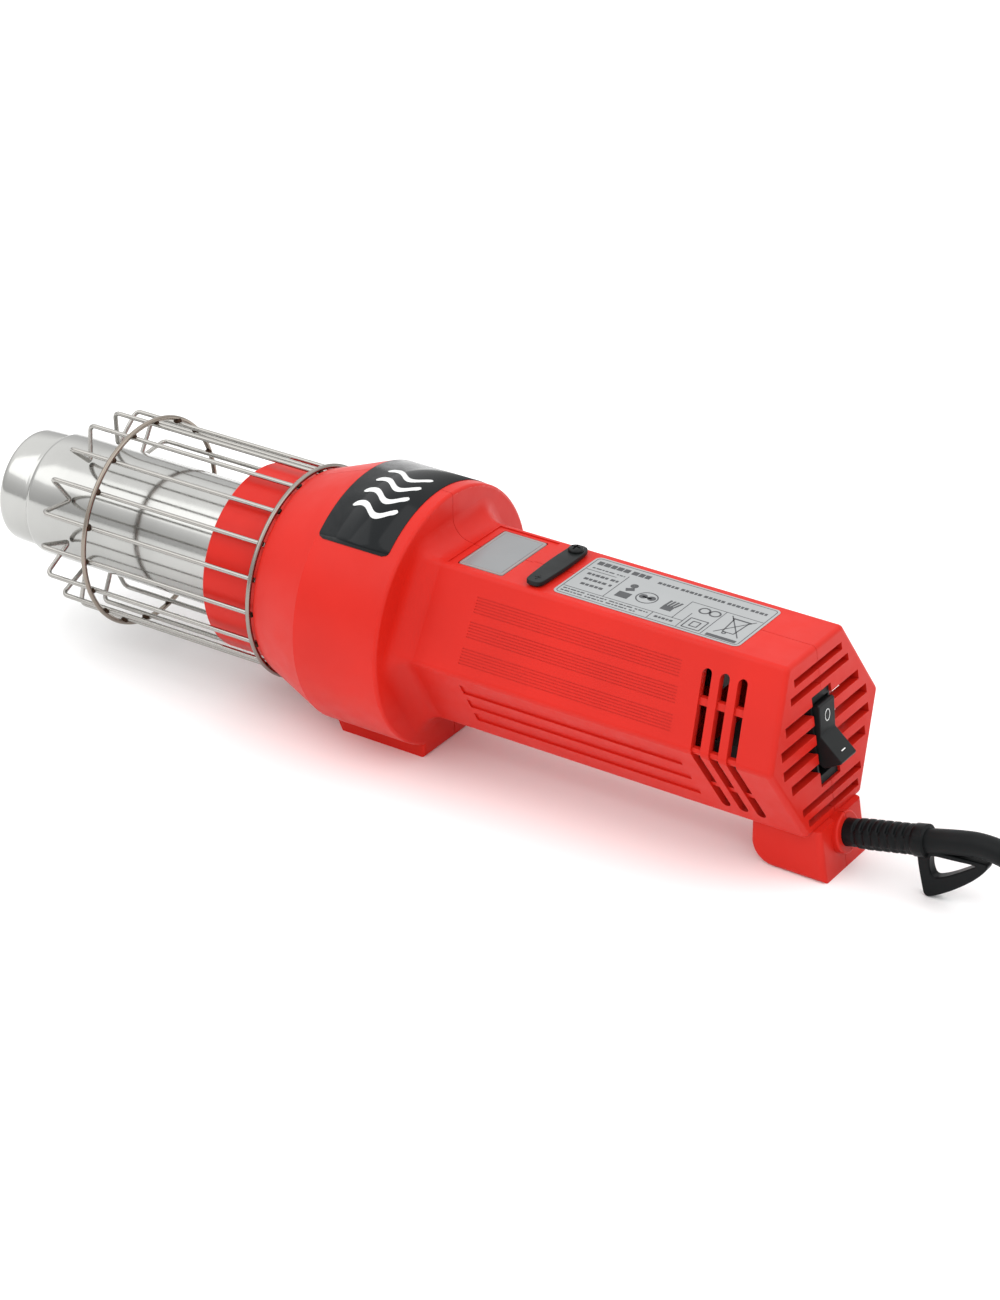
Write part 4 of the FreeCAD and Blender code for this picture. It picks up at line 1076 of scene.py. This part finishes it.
@dataclass
class Nozzle(Assembly):
    """The polished nozzle tube and the heater inside it."""

    wall: float = 0.8
    mouth: float = 22.6
    main: float = 24.4
    step: float = 13.4
    end: float = 144.0
    spirals: int = 6
    turns: int = 26
    element_start: float = 38.0
    element_length: float = 88.0
    loop: float = 4.6
    loop_circle: float = 12.6
    strand: float = 0.42

    def outline(self) -> list[Pair]:
        """Return the tube's closed section as (s, radius) corners."""
        outer = [(0.0, 21.2), (0.12, 21.6), (0.5, 22.0), (1.2, 22.35), (2.2, 22.55), (3.2, self.mouth)]
        outer += [(self.step - 1.2, self.mouth), (self.step - 0.6, self.mouth - 0.12)]
        outer += [(self.step, self.mouth - 0.45), (self.step + 0.45, self.mouth - 0.5)]
        outer += [(self.step + 0.9, self.mouth - 0.2)]
        outer += [(self.step + 1.4, self.mouth + 0.7), (self.step + 2.0, self.main - 0.45)]
        outer += [(self.step + 2.7, self.main - 0.1), (self.step + 3.5, self.main), (self.end, self.main)]
        inner = [(s, r - self.wall) for s, r in reversed(outer[5:])]
        return outer + inner + [(1.6, 21.5), (0.9, 21.0), (0.3, 20.85)]

    def tube(self) -> bpy.types.Object:
        """Make the tube, finely divided along its length."""
        dense: list[Pair] = []
        corners = self.outline()
        for (s0, r0), (s1, r1) in zip(corners, corners[1:] + corners[:1]):
            pieces = max(1, int(abs(s1 - s0) / 6.0))
            dense += [(s0 + (s1 - s0) * k / pieces, r0 + (r1 - r0) * k / pieces) for k in range(pieces)]
        return MeshMaker.lathe("polished_nozzle", dense, 192)

    def element(self) -> bpy.types.Object:
        """Make the element: wavy spirals of resistance wire through the mica cross."""
        strands = []
        steps = self.turns * 10
        for number in range(self.spirals):
            middle = math.radians(360.0 / self.spirals * (number + 0.5))
            path = []
            for k in range(steps + 1):
                a = 2 * math.pi * self.turns * k / steps
                radius = self.loop_circle + self.loop * math.cos(a)
                turn = middle + self.loop * 0.8 * math.sin(a) / self.loop_circle
                path.append(axial(self.element_start + self.element_length * k / steps,
                                  radius * math.cos(turn), radius * math.sin(turn)))
            strands.append(MeshMaker.tube(f"strand_{number}", path, self.strand, 6))
        return MeshMaker.join("heating_spirals", strands)

    def build(self) -> None:
        """Make the nozzle and dress what is inside it."""
        self.fit(self.tube(), self.finishes.tube, Body.TOOL, Slot.STEEL, "nozzle_tube")
        self.fit(self.element(), self.finishes.element, Body.TOOL, Slot.RESISTANCE, "heating_coil")
        for node in ("mica_sleeve", "heater_former"):
            self.dress(node, self.finishes.mica)
        for node in ("heat_shield", "heater_flange"):
            self.dress(node, self.finishes.aluminium)
        self.dress("thermal_cutout", self.finishes.black)


@dataclass
class Guard(Assembly):
    """Two rings and nine hairpins of wire, welded where they cross."""

    rings: Pair = (57.8, 135.5)
    ring_radius: float = 40.8
    ring_wire: float = 1.0
    rod_circle: float = 38.95
    rod_wire: float = 0.9
    rod_rear: float = 136.9
    fronts: tuple[float, ...] = (36.8, 38.0, 36.7, 35.2, 34.8, 36.0, 36.8, 37.2, 36.8)
    apex_place: float = 36.8
    apex: float = 24.6
    first: float = 31.5

    @property
    def pitch(self) -> float:
        """Return the angle from each rod to the next."""
        return 180.0 / len(self.fronts)

    def polar(self, s: float, radius: float, degrees: float) -> Vector:
        """Return the row-frame point at a radius and angle round the barrel."""
        a = math.radians(degrees)
        return axial(s, radius * math.cos(a), radius * math.sin(a))

    def store_heat(self, obj: bpy.types.Object, heat: Callable[[Vector], float]) -> None:
        """Store how far each point was heated by the nearest weld.

        Args:
            obj: the wire's mesh object.
            heat: gives the heat, from 0 to 1, at a row-frame point in metres.
        """
        layer = obj.data.attributes.new("heat", "FLOAT", "POINT")
        layer.data.foreach_set("value", [heat(v.co) for v in obj.data.vertices])

    def rod_heat(self, point: Vector) -> float:
        """Work out the heat along a rod, which peaks where it crosses the rings.

        Args:
            point: a row-frame point of the rod, in metres.

        Returns:
            The heat there, from 0 to 1.
        """
        s = point.x / MM - MOUTH_X
        front = math.exp(-((s - self.rings[0] - 0.4) / 2.1) ** 2)
        back = 0.75 * math.exp(-((s - self.rings[1] - 0.2) / 1.5) ** 2)
        return max(front, back)

    def ring_heat(self, strength: float) -> Callable[[Vector], float]:
        """Describe the heat round a ring.

        Args:
            strength: the heat at its welds, from 0 to 1.

        Returns:
            A function that gives the heat at a row-frame point in metres.
        """
        def heat(point: Vector) -> float:
            """Return the heat at a point of the ring, which peaks at each rod."""
            y, z = point.y / MM, point.z / MM - AXIS_Z
            turn = (math.degrees(math.atan2(z, y)) - self.first + self.pitch / 2) % self.pitch
            away = math.radians(min(turn, self.pitch - turn)) * self.ring_radius
            facing = 1.0 if math.hypot(y, z) < self.ring_radius else 0.75
            return 0.16 + facing * strength * math.exp(-(away / 2.6) ** 2)
        return heat

    def ring(self, index: int) -> bpy.types.Object:
        """Make one ring.

        Args:
            index: 0 for the front ring, 1 for the rear one.

        Returns:
            The ring.
        """
        steps = 180
        path = [self.polar(self.rings[index], self.ring_radius, 360.0 * k / steps) for k in range(steps)]
        ring = MeshMaker.tube(("front_ring", "rear_ring")[index], path, self.ring_wire, 16, closed=True)
        self.store_heat(ring, self.ring_heat((0.85, 0.6)[index]))
        return ring

    def hairpin(self, index: int) -> bpy.types.Object:
        """Make one hairpin with its rods, corners and V towards the nozzle.

        Args:
            index: its number round the barrel, from 0.

        Returns:
            The hairpin.
        """
        middle = self.first + index * 2 * self.pitch
        left, right, front = middle - self.pitch / 2, middle + self.pitch / 2, self.fronts[index]
        corners = [self.polar(self.rod_rear, self.rod_circle, left), self.polar(front, self.rod_circle, left),
                   self.polar(self.apex_place, self.apex, middle), self.polar(front, self.rod_circle, right),
                   self.polar(self.rod_rear, self.rod_circle, right)]
        bent = rounded_corners(corners, (2.2 * MM, 1.0 * MM, 2.2 * MM), 8)
        path, span = [bent[0]], 1.2 * MM
        for a, b in zip(bent, bent[1:]):
            pieces = max(1, int((b - a).length / span))
            path += [a.lerp(b, k / pieces) for k in range(1, pieces + 1)]
        wire = MeshMaker.tube(f"hairpin_{index + 1}", path, self.rod_wire, 14)
        self.store_heat(wire, self.rod_heat)
        return wire

    def bead(self, index: int, number: int) -> bpy.types.Object:
        """Make one small burnt bead where a rod is welded to a ring.

        Args:
            index: 0 for the front ring, 1 for the rear one.
            number: the rod's number round the barrel, from 0.

        Returns:
            The bead.
        """
        layers, sides = 7, 12
        around = math.radians(self.first + self.pitch * (number - 0.5))
        grow = (1.0, 1.18, 0.9, 1.1, 0.84)[(number * 3 + index) % 5] * (1.0, 0.86)[index]
        centre = (self.ring_radius + self.rod_circle) / 2 - 0.1
        rows = []
        for layer in range(1, layers):
            rise = math.pi * layer / layers
            row = []
            for side in range(sides):
                turn = 2 * math.pi * side / sides
                size = grow * math.sin(rise) * (1.0 + 0.13 * math.sin(3 * turn + number) * math.sin(rise))
                radius, over = centre + 1.15 * size * math.cos(turn), 1.3 * size * math.sin(turn)
                row.append(axial(self.rings[index] + 0.25 + 1.5 * grow * math.cos(rise),
                                 radius * math.cos(around) - over * math.sin(around),
                                 radius * math.sin(around) + over * math.cos(around)))
            rows.append(row)
        return MeshMaker.skin(f"bead_{index}_{number}", rows)

    def beads(self, index: int) -> bpy.types.Object:
        """Make all the beads of one ring; index is 0 for the front ring and 1 for the rear one."""
        beads = [self.bead(index, number) for number in range(2 * len(self.fronts))]
        return MeshMaker.join(("front_weld_beads", "rear_weld_beads")[index], beads)

    def build(self) -> None:
        """Make the rings, their welds and the hairpins."""
        for index, node in enumerate(("guard_front_ring", "guard_rear_ring")):
            finish = (self.finishes.front_ring, self.finishes.rear_ring)[index]
            self.fit(self.ring(index), finish, Body.TOOL, Slot.WIRE, node)
            self.fit(self.beads(index), self.finishes.weld, Body.TOOL, Slot.WIRE)
        for index in range(len(self.fronts)):
            self.fit(self.hairpin(index), self.finishes.wire, Body.TOOL, Slot.WIRE, f"guard_wire_{index + 1}")


# ---- housing and what is inside it ----------------------------------------------------------------


@dataclass
class Housing(Assembly):
    """The two red shells, the collar, and the works inside."""

    def build(self) -> None:
        """Dress the shells and the inner parts."""
        for node in ("housing_left", "housing_right", "front_collar"):
            self.dress(node, self.finishes.shell)
        for node in ("air_guide", "fan_impeller", "motor_mount", "display_module", "terminal_block",
                     "adjuster"):
            self.dress(node, self.finishes.pale)
        for node in ("motor_case", "motor_rotor"):
            self.dress(node, self.finishes.iron)
        for node in ("motor_shaft", "front_bearing", "rear_bearing"):
            self.dress(node, self.finishes.pin)
        for node in ("brush_cap", "cord_clamp", "switch_case"):
            self.dress(node, self.finishes.black)
        for node in ("housing_screws", "clamp_screws"):
            self.dress(node, self.finishes.screw)
        self.dress("control_board", self.finishes.board)
        self.dress("power_heatsink", self.finishes.aluminium)


@dataclass
class Display(Assembly):
    """The sunk window with its grey display face."""

    start: float = 212.0
    length: float = 18.8
    half: float = 15.2
    top: float = 32.1
    border: float = 1.3
    depth: float = 2.7
    face_drop: float = 0.12

    def box(self, inset: float) -> list[Pair]:
        """Draw the window's outline with round corners.

        Args:
            inset: how far it lies inside the window's edge.

        Returns:
            The outline's points.
        """
        low = (self.start + inset, inset - self.half)
        high = (self.start + self.length - inset, self.half - inset)
        return rounded_box(low, high, max(0.2, 1.0 - inset), 4)

    def build(self) -> None:
        """Make the display's face and its clear rim."""
        inside, bottom = self.box(self.border), self.top - self.depth
        face = MeshMaker.slab("display_face", inside, bottom, self.top - self.face_drop, axial)
        rim = MeshMaker.slab("display_rim", self.box(0.0), bottom, self.top, axial, inside)
        self.fit(MeshMaker.soften(rim, 0.5, 3), self.finishes.glass_edge, Body.TOOL, Slot.LENS, "display_lens")
        self.fit(MeshMaker.soften(face, 0.1), self.finishes.lens, Body.TOOL, Slot.LENS)


@dataclass
class SwingTab(Assembly):
    """The black strap that turns on a screw and covers the adjuster."""

    pivot: Pair = (245.0, 11.7)
    underside: float = 32.9
    thickness: float = 1.8

    def outline(self) -> list[Pair]:
        """Return the strap's lens-shaped outline."""
        side = [(2.4, 4.3), (3.6, 2.2), (3.85, -4.0), (4.05, -11.8), (3.8, -19.0), (3.5, -26.0), (2.9, -28.5)]
        return smooth_loop([(0.0, 4.8)] + side + [(0.0, -29.2)] + [(-s, y) for s, y in reversed(side)], 6)

    def on_top(self, s: float, y: float, z: float) -> Vector:
        """Return the row-frame point of a point counted from the pivot and the underside."""
        return axial(self.pivot[0] + s, self.pivot[1] + y, self.underside + z)

    def strap(self) -> bpy.types.Object:
        """Make the strap with rounded edges."""
        strap = MeshMaker.slab("swing_strap", self.outline(), 0.0, self.thickness, self.on_top)
        return MeshMaker.soften(strap, 0.35, 3)

    def mark(self) -> bpy.types.Object:
        """Make the small raised cross at the strap's free end."""
        low, high = self.thickness - 0.05, self.thickness + 0.12
        lengthwise = [(-0.25, -26.6), (0.25, -26.6), (0.25, -23.6), (-0.25, -23.6)]
        crosswise = [(-1.2, -25.2), (1.2, -25.2), (1.2, -24.7), (-1.2, -24.7)]
        return MeshMaker.join("strap_mark", [MeshMaker.slab("mark_long", lengthwise, low, high, self.on_top),
                                             MeshMaker.slab("mark_short", crosswise, low, high, self.on_top)])

    def screw(self) -> bpy.types.Object:
        """Make the pan-head screw with its cross recess."""
        top, sides = self.thickness + 0.1, 48
        rows = []
        for height, radius in ((0.0, 2.85), (0.55, 2.9), (1.0, 2.6), (1.3, 1.9), (1.45, 0.9)):
            turns = [2 * math.pi * k / sides for k in range(sides)]
            rows.append([self.on_top(radius * math.cos(a), radius * math.sin(a), top + height) for a in turns])
        head = MeshMaker.skin("tab_screw_head", rows)
        cutters = []
        for k, (a, b) in enumerate(((1.9, 0.36), (0.36, 1.9))):
            slot = [(-a, -b), (a, -b), (a, b), (-a, b)]
            cutters.append(MeshMaker.slab(f"cutter_{k}", slot, top + 0.55, top + 3, self.on_top))
        for cutter in cutters:
            boolean = head.modifiers.new("recess", "BOOLEAN")
            boolean.object = cutter
            boolean.solver = "EXACT"
        graph = bpy.context.evaluated_depsgraph_get()
        mesh = bpy.data.meshes.new_from_object(head.evaluated_get(graph))
        head.modifiers.clear()
        head.data = mesh
        for cutter in cutters:
            bpy.data.objects.remove(cutter)
        return MeshMaker.soften(head, 0.08, 2, 40)

    def build(self) -> None:
        """Make the strap and its screw."""
        self.fit(self.strap(), self.finishes.black, Body.TAB, Slot.BLACK, "swing_tab")
        self.fit(self.mark(), self.finishes.black, Body.TAB, Slot.BLACK)
        self.fit(self.screw(), self.finishes.black, Body.TOOL, Slot.SCREW, "tab_screw")


# ---- labels --------------------------------------------------------------------------------------


def bar(s0: float, y0: float, s1: float, y1: float, width: float) -> list[Pair]:
    """Draw a straight printed bar.

    Args:
        s0: first end along the barrel.
        y0: first end across.
        s1: second end along the barrel.
        y1: second end across.
        width: the bar's width.

    Returns:
        Its four corners.
    """
    length = math.hypot(s1 - s0, y1 - y0)
    ns, ny = -(y1 - y0) / length * width / 2, (s1 - s0) / length * width / 2
    return [(s0 + ns, y0 + ny), (s1 + ns, y1 + ny), (s1 - ns, y1 - ny), (s0 - ns, y0 - ny)]


def frame_bars(s0: float, y0: float, s1: float, y1: float, width: float) -> list[list[Pair]]:
    """Return the four bars that frame the box between two corners."""
    corners = [(s0, y0), (s1, y0), (s1, y1), (s0, y1)]
    return [bar(*a, *b, width) for a, b in zip(corners, corners[1:] + corners[:1])]


@dataclass
class RatingPlate(Assembly):
    """The foil plate on the handle's top with a plain pattern of rules and dashes."""

    start: float = 252.2
    length: float = 76.3
    half: float = 15.8
    surface: float = 32.3
    thickness: float = 0.2
    sunk: float = 0.02
    proud: float = 0.03
    rule: float = 0.3

    def outline(self, inset: float, radius: float) -> list[Pair]:
        """Draw a rounded box inside the plate.

        Args:
            inset: how far it lies inside the plate's edge.
            radius: the corners' radius.

        Returns:
            The box's points.
        """
        low = (self.start + inset, inset - self.half)
        high = (self.start + self.length - inset, self.half - inset)
        return rounded_box(low, high, radius, 6)

    def at(self, s: float, y: float, z: float) -> Vector:
        """Return a point at a height above the handle's top face."""
        return axial(s, y, self.surface + z)

    def rules(self) -> list[list[Pair]]:
        """Return the thin rules that part the plate's cells."""
        s, e, w = self.start, self.start + self.length, self.rule
        return [bar(s + 1.4, 5.4, s + 14.0, 5.4, w), bar(s + 1.4, -9.6, s + 50.5, -9.6, w),
                bar(s + 17.6, 8.4, s + 17.6, -9.6, w), bar(s + 38.6, -9.6, s + 38.6, -14.3, w),
                bar(s + 46.2, 4.4, e - 1.4, 4.4, w), bar(s + 46.2, 4.4, s + 46.2, -9.6, w),
                bar(s + 60.4, 4.4, s + 60.4, -14.3, w), bar(s + 50.5, -3.0, s + 50.5, -14.3, w)]

    def lines(self) -> list[list[Pair]]:
        """Return the rows of dashes that stand for the plate's small print.

        Each row holds its place across, its two ends along the plate, its height, and its dashes' lengths.
        """
        s = self.start
        rows = ((11.6, 2.6, 24.5, 2.6, (2.3, 2.5, 2.1, 2.4)), (7.4, 2.8, 16.4, 0.7, (1.2, 2.1, 0.8)),
                (2.7, 3.6, 16.4, 1.5, (1.5, 1.1, 1.7)), (-1.2, 4.6, 16.0, 1.5, (1.7, 1.2)),
                (-5.1, 5.6, 15.4, 1.5, (1.6, 1.3)), (-11.2, 2.2, 37.2, 0.75, (1.6, 0.7, 2.2, 1.1)),
                (-13.0, 2.2, 33.0, 0.75, (1.2, 2.0, 0.8)), (-12.0, 40.4, 48.8, 1.3, (1.3, 0.9)),
                (10.2, 28.6, 73.6, 1.5, (1.5, 1.2, 1.6, 1.0, 1.4)))
        marks: list[list[Pair]] = []
        for y, left, right, height, reaches in rows:
            at, k = s + left, 0
            while at < s + right - 0.5:
                reach = min(reaches[k % len(reaches)], s + right - at)
                marks.append(bar(at, y, at + reach, y, height))
                at += reach + 0.42 + (0.7 if k % 5 == 4 else 0.0)
                k += 1
        return marks

    def signs(self) -> list[list[Pair]]:
        """Return the straight parts of the plain signs: a sheet, a glove, nested boxes and a crossed bin."""
        s = self.start
        marks = [bar(s + 20.4, -4.6, s + 25.6, -4.6, 4.2), bar(s + 21.6, -0.6, s + 24.4, 1.0, 2.2)]
        marks += [bar(s + 29.4, -1.8, s + 33.2, -1.8, 0.9)]
        marks.append(bar(s + 39.0, -4.6, s + 43.4, -4.6, 3.4))
        marks += [bar(s + 39.5 + 1.25 * k, -3.0, s + 39.9 + 1.45 * k, 1.2, 0.85) for k in range(4)]
        marks += frame_bars(s + 52.0, -13.2, s + 59.0, -6.0, 0.5)
        marks += frame_bars(s + 54.0, -11.4, s + 57.0, -7.8, 0.5)
        marks.append(bar(s + 62.0, -13.2, s + 74.0, -13.2, 1.8))
        marks += [bar(s + 64.4, 1.6, s + 72.0, 1.6, 0.8), bar(s + 65.2, 1.2, s + 66.0, -8.6, 0.5),
                  bar(s + 71.2, 1.2, s + 70.4, -8.6, 0.5), bar(s + 66.0, -8.6, s + 70.4, -8.6, 0.5),
                  bar(s + 63.4, -10.4, s + 73.0, 3.2, 0.45), bar(s + 73.0, -10.4, s + 63.4, 3.2, 0.45)]
        return marks

    def discs(self) -> list[tuple[Pair, float, float]]:
        """Return the round signs as (centre, outer radius, inner radius)."""
        s = self.start
        return [((s + 23.0, 3.2), 1.5, 0.1), ((s + 31.3, -2.0), 4.2, 3.7), ((s + 29.6, -1.6), 1.6, 0.1),
                ((s + 33.0, -1.6), 1.6, 0.1), ((s + 53.4, 0.8), 2.3, 1.6), ((s + 57.6, 0.8), 2.3, 1.6),
                ((s + 67.0, -9.4), 0.9, 0.4)]

    def printed(self, name: str, outline: Sequence[Pair], hole: Sequence[Pair] = ()) -> bpy.types.Object:
        """Lay one flat outline on the plate as thin raised print.

        Args:
            name: the print's name.
            outline: its corners.
            hole: a matching inner outline, if it is a ring.

        Returns:
            The print.
        """
        low, high = self.thickness - self.sunk, self.thickness + self.proud
        return MeshMaker.slab(name, outline, low, high, self.at, hole)

    def round_signs(self) -> bpy.types.Object:
        """Make the plate's round signs."""
        signs = []
        turns = [math.pi * k / 18 for k in range(36)]
        for k, ((s, y), *radii) in enumerate(self.discs()):
            outer, inner = [[(s + r * math.cos(a), y + r * math.sin(a)) for a in turns] for r in radii]
            signs.append(self.printed(f"sign_{k}", outer, inner))
        return MeshMaker.join("plate_signs", signs)

    def build(self) -> None:
        """Make the plate, its border and its print."""
        foil = MeshMaker.slab("plate_foil", self.outline(0.0, 2.4), 0.0, self.thickness, self.at)
        self.fit(MeshMaker.soften(foil, 0.06), self.finishes.foil, Body.TOOL, Slot.LABEL, "rating_plate")
        border = self.printed("plate_border", self.outline(0.9, 1.6), self.outline(1.2, 1.3))
        self.fit(border, self.finishes.ink, Body.TOOL, Slot.LABEL)
        outlines = self.rules() + self.lines() + self.signs()
        marks = [self.printed(f"print_{k}", outline) for k, outline in enumerate(outlines)]
        self.fit(MeshMaker.join("plate_print", marks), self.finishes.ink, Body.TOOL, Slot.LABEL)
        self.fit(self.round_signs(), self.finishes.ink, Body.TOOL, Slot.LABEL)


@dataclass
class Badge(Assembly):
    """The black film wrapped over the drum, with four waves of warm air."""

    start: float = 163.4
    end: float = 194.1
    half_angle: float = 43.0
    radius: float = 50.02
    corner: float = 2.4
    film_thickness: float = 0.2
    wave_places: tuple[float, ...] = (-21.0, -13.4, -5.8, 1.8)
    wave_start: float = 169.6
    wave_length: float = 18.6
    wave_sway: float = 2.0
    wave_half: float = 1.35

    def wrap(self, s: float, across: float, height: float) -> Vector:
        """Place a point of the film.

        Args:
            s: place along the barrel.
            across: distance round the drum from its top towards +Y.
            height: height over the film's underside.

        Returns:
            The row-frame point in metres.
        """
        a = across / self.radius
        r = self.radius + height
        return axial(s, r * math.sin(a), r * math.cos(a))

    def film(self) -> bpy.types.Object:
        """Make the film with round corners, as strips across the drum."""
        reach = math.radians(self.half_angle) * self.radius
        count, rows = 96, []
        for k in range(count + 1):
            across = -reach + 2 * reach * k / count
            from_corner = max(0.0, self.corner - (reach - abs(across)))
            trim = self.corner - math.sqrt(max(0.0, self.corner ** 2 - from_corner ** 2))
            low, high = self.start + trim, self.end - trim
            rows.append([self.wrap(low, across, 0.0), self.wrap(low, across, self.film_thickness),
                         self.wrap(high, across, self.film_thickness), self.wrap(high, across, 0.0)])
        return MeshMaker.skin("badge_film", rows)

    def wave(self, index: int) -> bpy.types.Object:
        """Make one wave as thin raised print that follows the drum.

        Args:
            index: its number across the badge, from 0.

        Returns:
            The wave.
        """
        steps, sunk, proud = 48, self.film_thickness - 0.02, self.film_thickness + 0.04
        rows = []
        for k in range(steps + 1):
            t = k / steps
            s = self.wave_start + self.wave_length * t
            across = self.wave_places[index] + self.wave_sway * math.sin(2 * math.pi * t * 1.25)
            half = self.wave_half * math.sqrt(max(0.0, min(1.0, t / 0.06, (1 - t) / 0.06)))
            rows.append([self.wrap(s, across - half, sunk), self.wrap(s, across - half, proud),
                         self.wrap(s, across + half, proud), self.wrap(s, across + half, sunk)])
        return MeshMaker.skin(f"wave_{index}", rows)

    def waves(self) -> bpy.types.Object:
        """Make all the waves as one piece."""
        return MeshMaker.join("badge_waves", [self.wave(index) for index in range(len(self.wave_places))])

    def build(self) -> None:
        """Make the film and its print."""
        self.fit(self.film(), self.finishes.gloss, Body.TOOL, Slot.GLOSS, "wrap_badge")
        self.fit(self.waves(), self.finishes.paint, Body.TOOL, Slot.GLOSS)


# ---- switch --------------------------------------------------------------------------------------


@dataclass
class Switch(Assembly):
    """The two-winged rocker with its O and I."""

    centre: float = -1.1
    pivot: float = 4.0
    tilt: float = 18.0
    half: float = 5.3
    wing_root: Pair = (5.75, 1.2)
    wing_tip: Pair = (9.55, 10.55)
    mark_lift: float = 0.06

    def at(self, out: float, along: float, y: float) -> Vector:
        """Place a point of the tilted rocker's own frame.

        Args:
            out: distance out of the rear face.
            along: distance along the rocker, towards its O.
            y: distance across.

        Returns:
            The row-frame point in metres.
        """
        a = math.radians(-self.tilt)
        x, z = out * math.cos(a) + along * math.sin(a), -out * math.sin(a) + along * math.cos(a)
        return rear(x - self.pivot, y, z + self.centre)

    def on_wing(self, side: int) -> Callable[[float, float, float], Vector]:
        """Describe the top of one wing.

        Args:
            side: 1 for the wing with the O, -1 for the one with the I.

        Returns:
            A function that places a point along the wing, across it and out of it.
        """
        (root_out, root_along), (tip_out, tip_along) = self.wing_root, self.wing_tip
        slope = math.atan2(tip_out - root_out, tip_along - root_along)

        def place(along: float, across: float, lift: float) -> Vector:
            """Return the row-frame point of a point of the wing."""
            out = root_out + (along - root_along) * math.tan(slope) + lift * math.cos(slope)
            return self.at(out, side * (along - lift * math.sin(slope)), across)
        return place

    def rocker(self) -> bpy.types.Object:
        """Make the rocker's body from the outline of one wing and its mirror image."""
        wing = [(5.4, 0.45), self.wing_root, self.wing_tip, (8.9, 11.35), (1.4, 11.55), (-3.3, 6.0)]
        outline = [(5.3, 0.0)] + wing + [(out, -along) for out, along in reversed(wing)]
        wings = MeshMaker.slab("rocker_wings", outline, 0.05 - self.half, self.half - 0.05, self.at)
        return MeshMaker.soften(wings, 0.35, 3, 22)

    def marks(self) -> bpy.types.Object:
        """Make the O and the I, each lying on its wing."""
        turns = [math.pi * k / 20 for k in range(40)]
        outer, inner = [[(6.0 + r * 1.25 * math.cos(a), r * math.sin(a)) for a in turns] for r in (1.7, 1.48)]
        stroke = [(7.4, -1.3), (7.75, -1.3), (7.75, 1.3), (7.4, 1.3)]
        letter_o = MeshMaker.slab("mark_o", outer, 0.0, self.mark_lift, self.on_wing(1), inner)
        letter_i = MeshMaker.slab("mark_i", stroke, 0.0, self.mark_lift, self.on_wing(-1))
        return MeshMaker.join("rocker_marks", [letter_o, letter_i])

    def build(self) -> None:
        """Make the rocker and its marks."""
        self.fit(self.rocker(), self.finishes.black, Body.ROCKER, Slot.BLACK, "rocker")
        self.fit(self.marks(), self.finishes.paint, Body.ROCKER, Slot.LABEL)


# ---- main ----------------------------------------------------------------------------------------


def main() -> tuple[Vector, Vector]:
    """Load the frame and build every sub-assembly in order.

    Returns:
        The CAD box's lowest and highest corners, in metres.
    """
    logging.basicConfig(level=logging.INFO, format="%(name)s: %(message)s")
    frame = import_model()
    cad_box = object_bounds()
    studio = Studio()
    studio.camera()
    finishes = Finishes.build()
    for kind in (MainsLead, Nozzle, Guard, Housing, Display, SwingTab, RatingPlate, Badge, Switch):
        assembly = kind(frame["nodes"], finishes)
        assembly.build()
        LOG.info("built %s", kind.__name__)
    studio.light()
    return cad_box


if __name__ == "__main__":
    low, high = main()
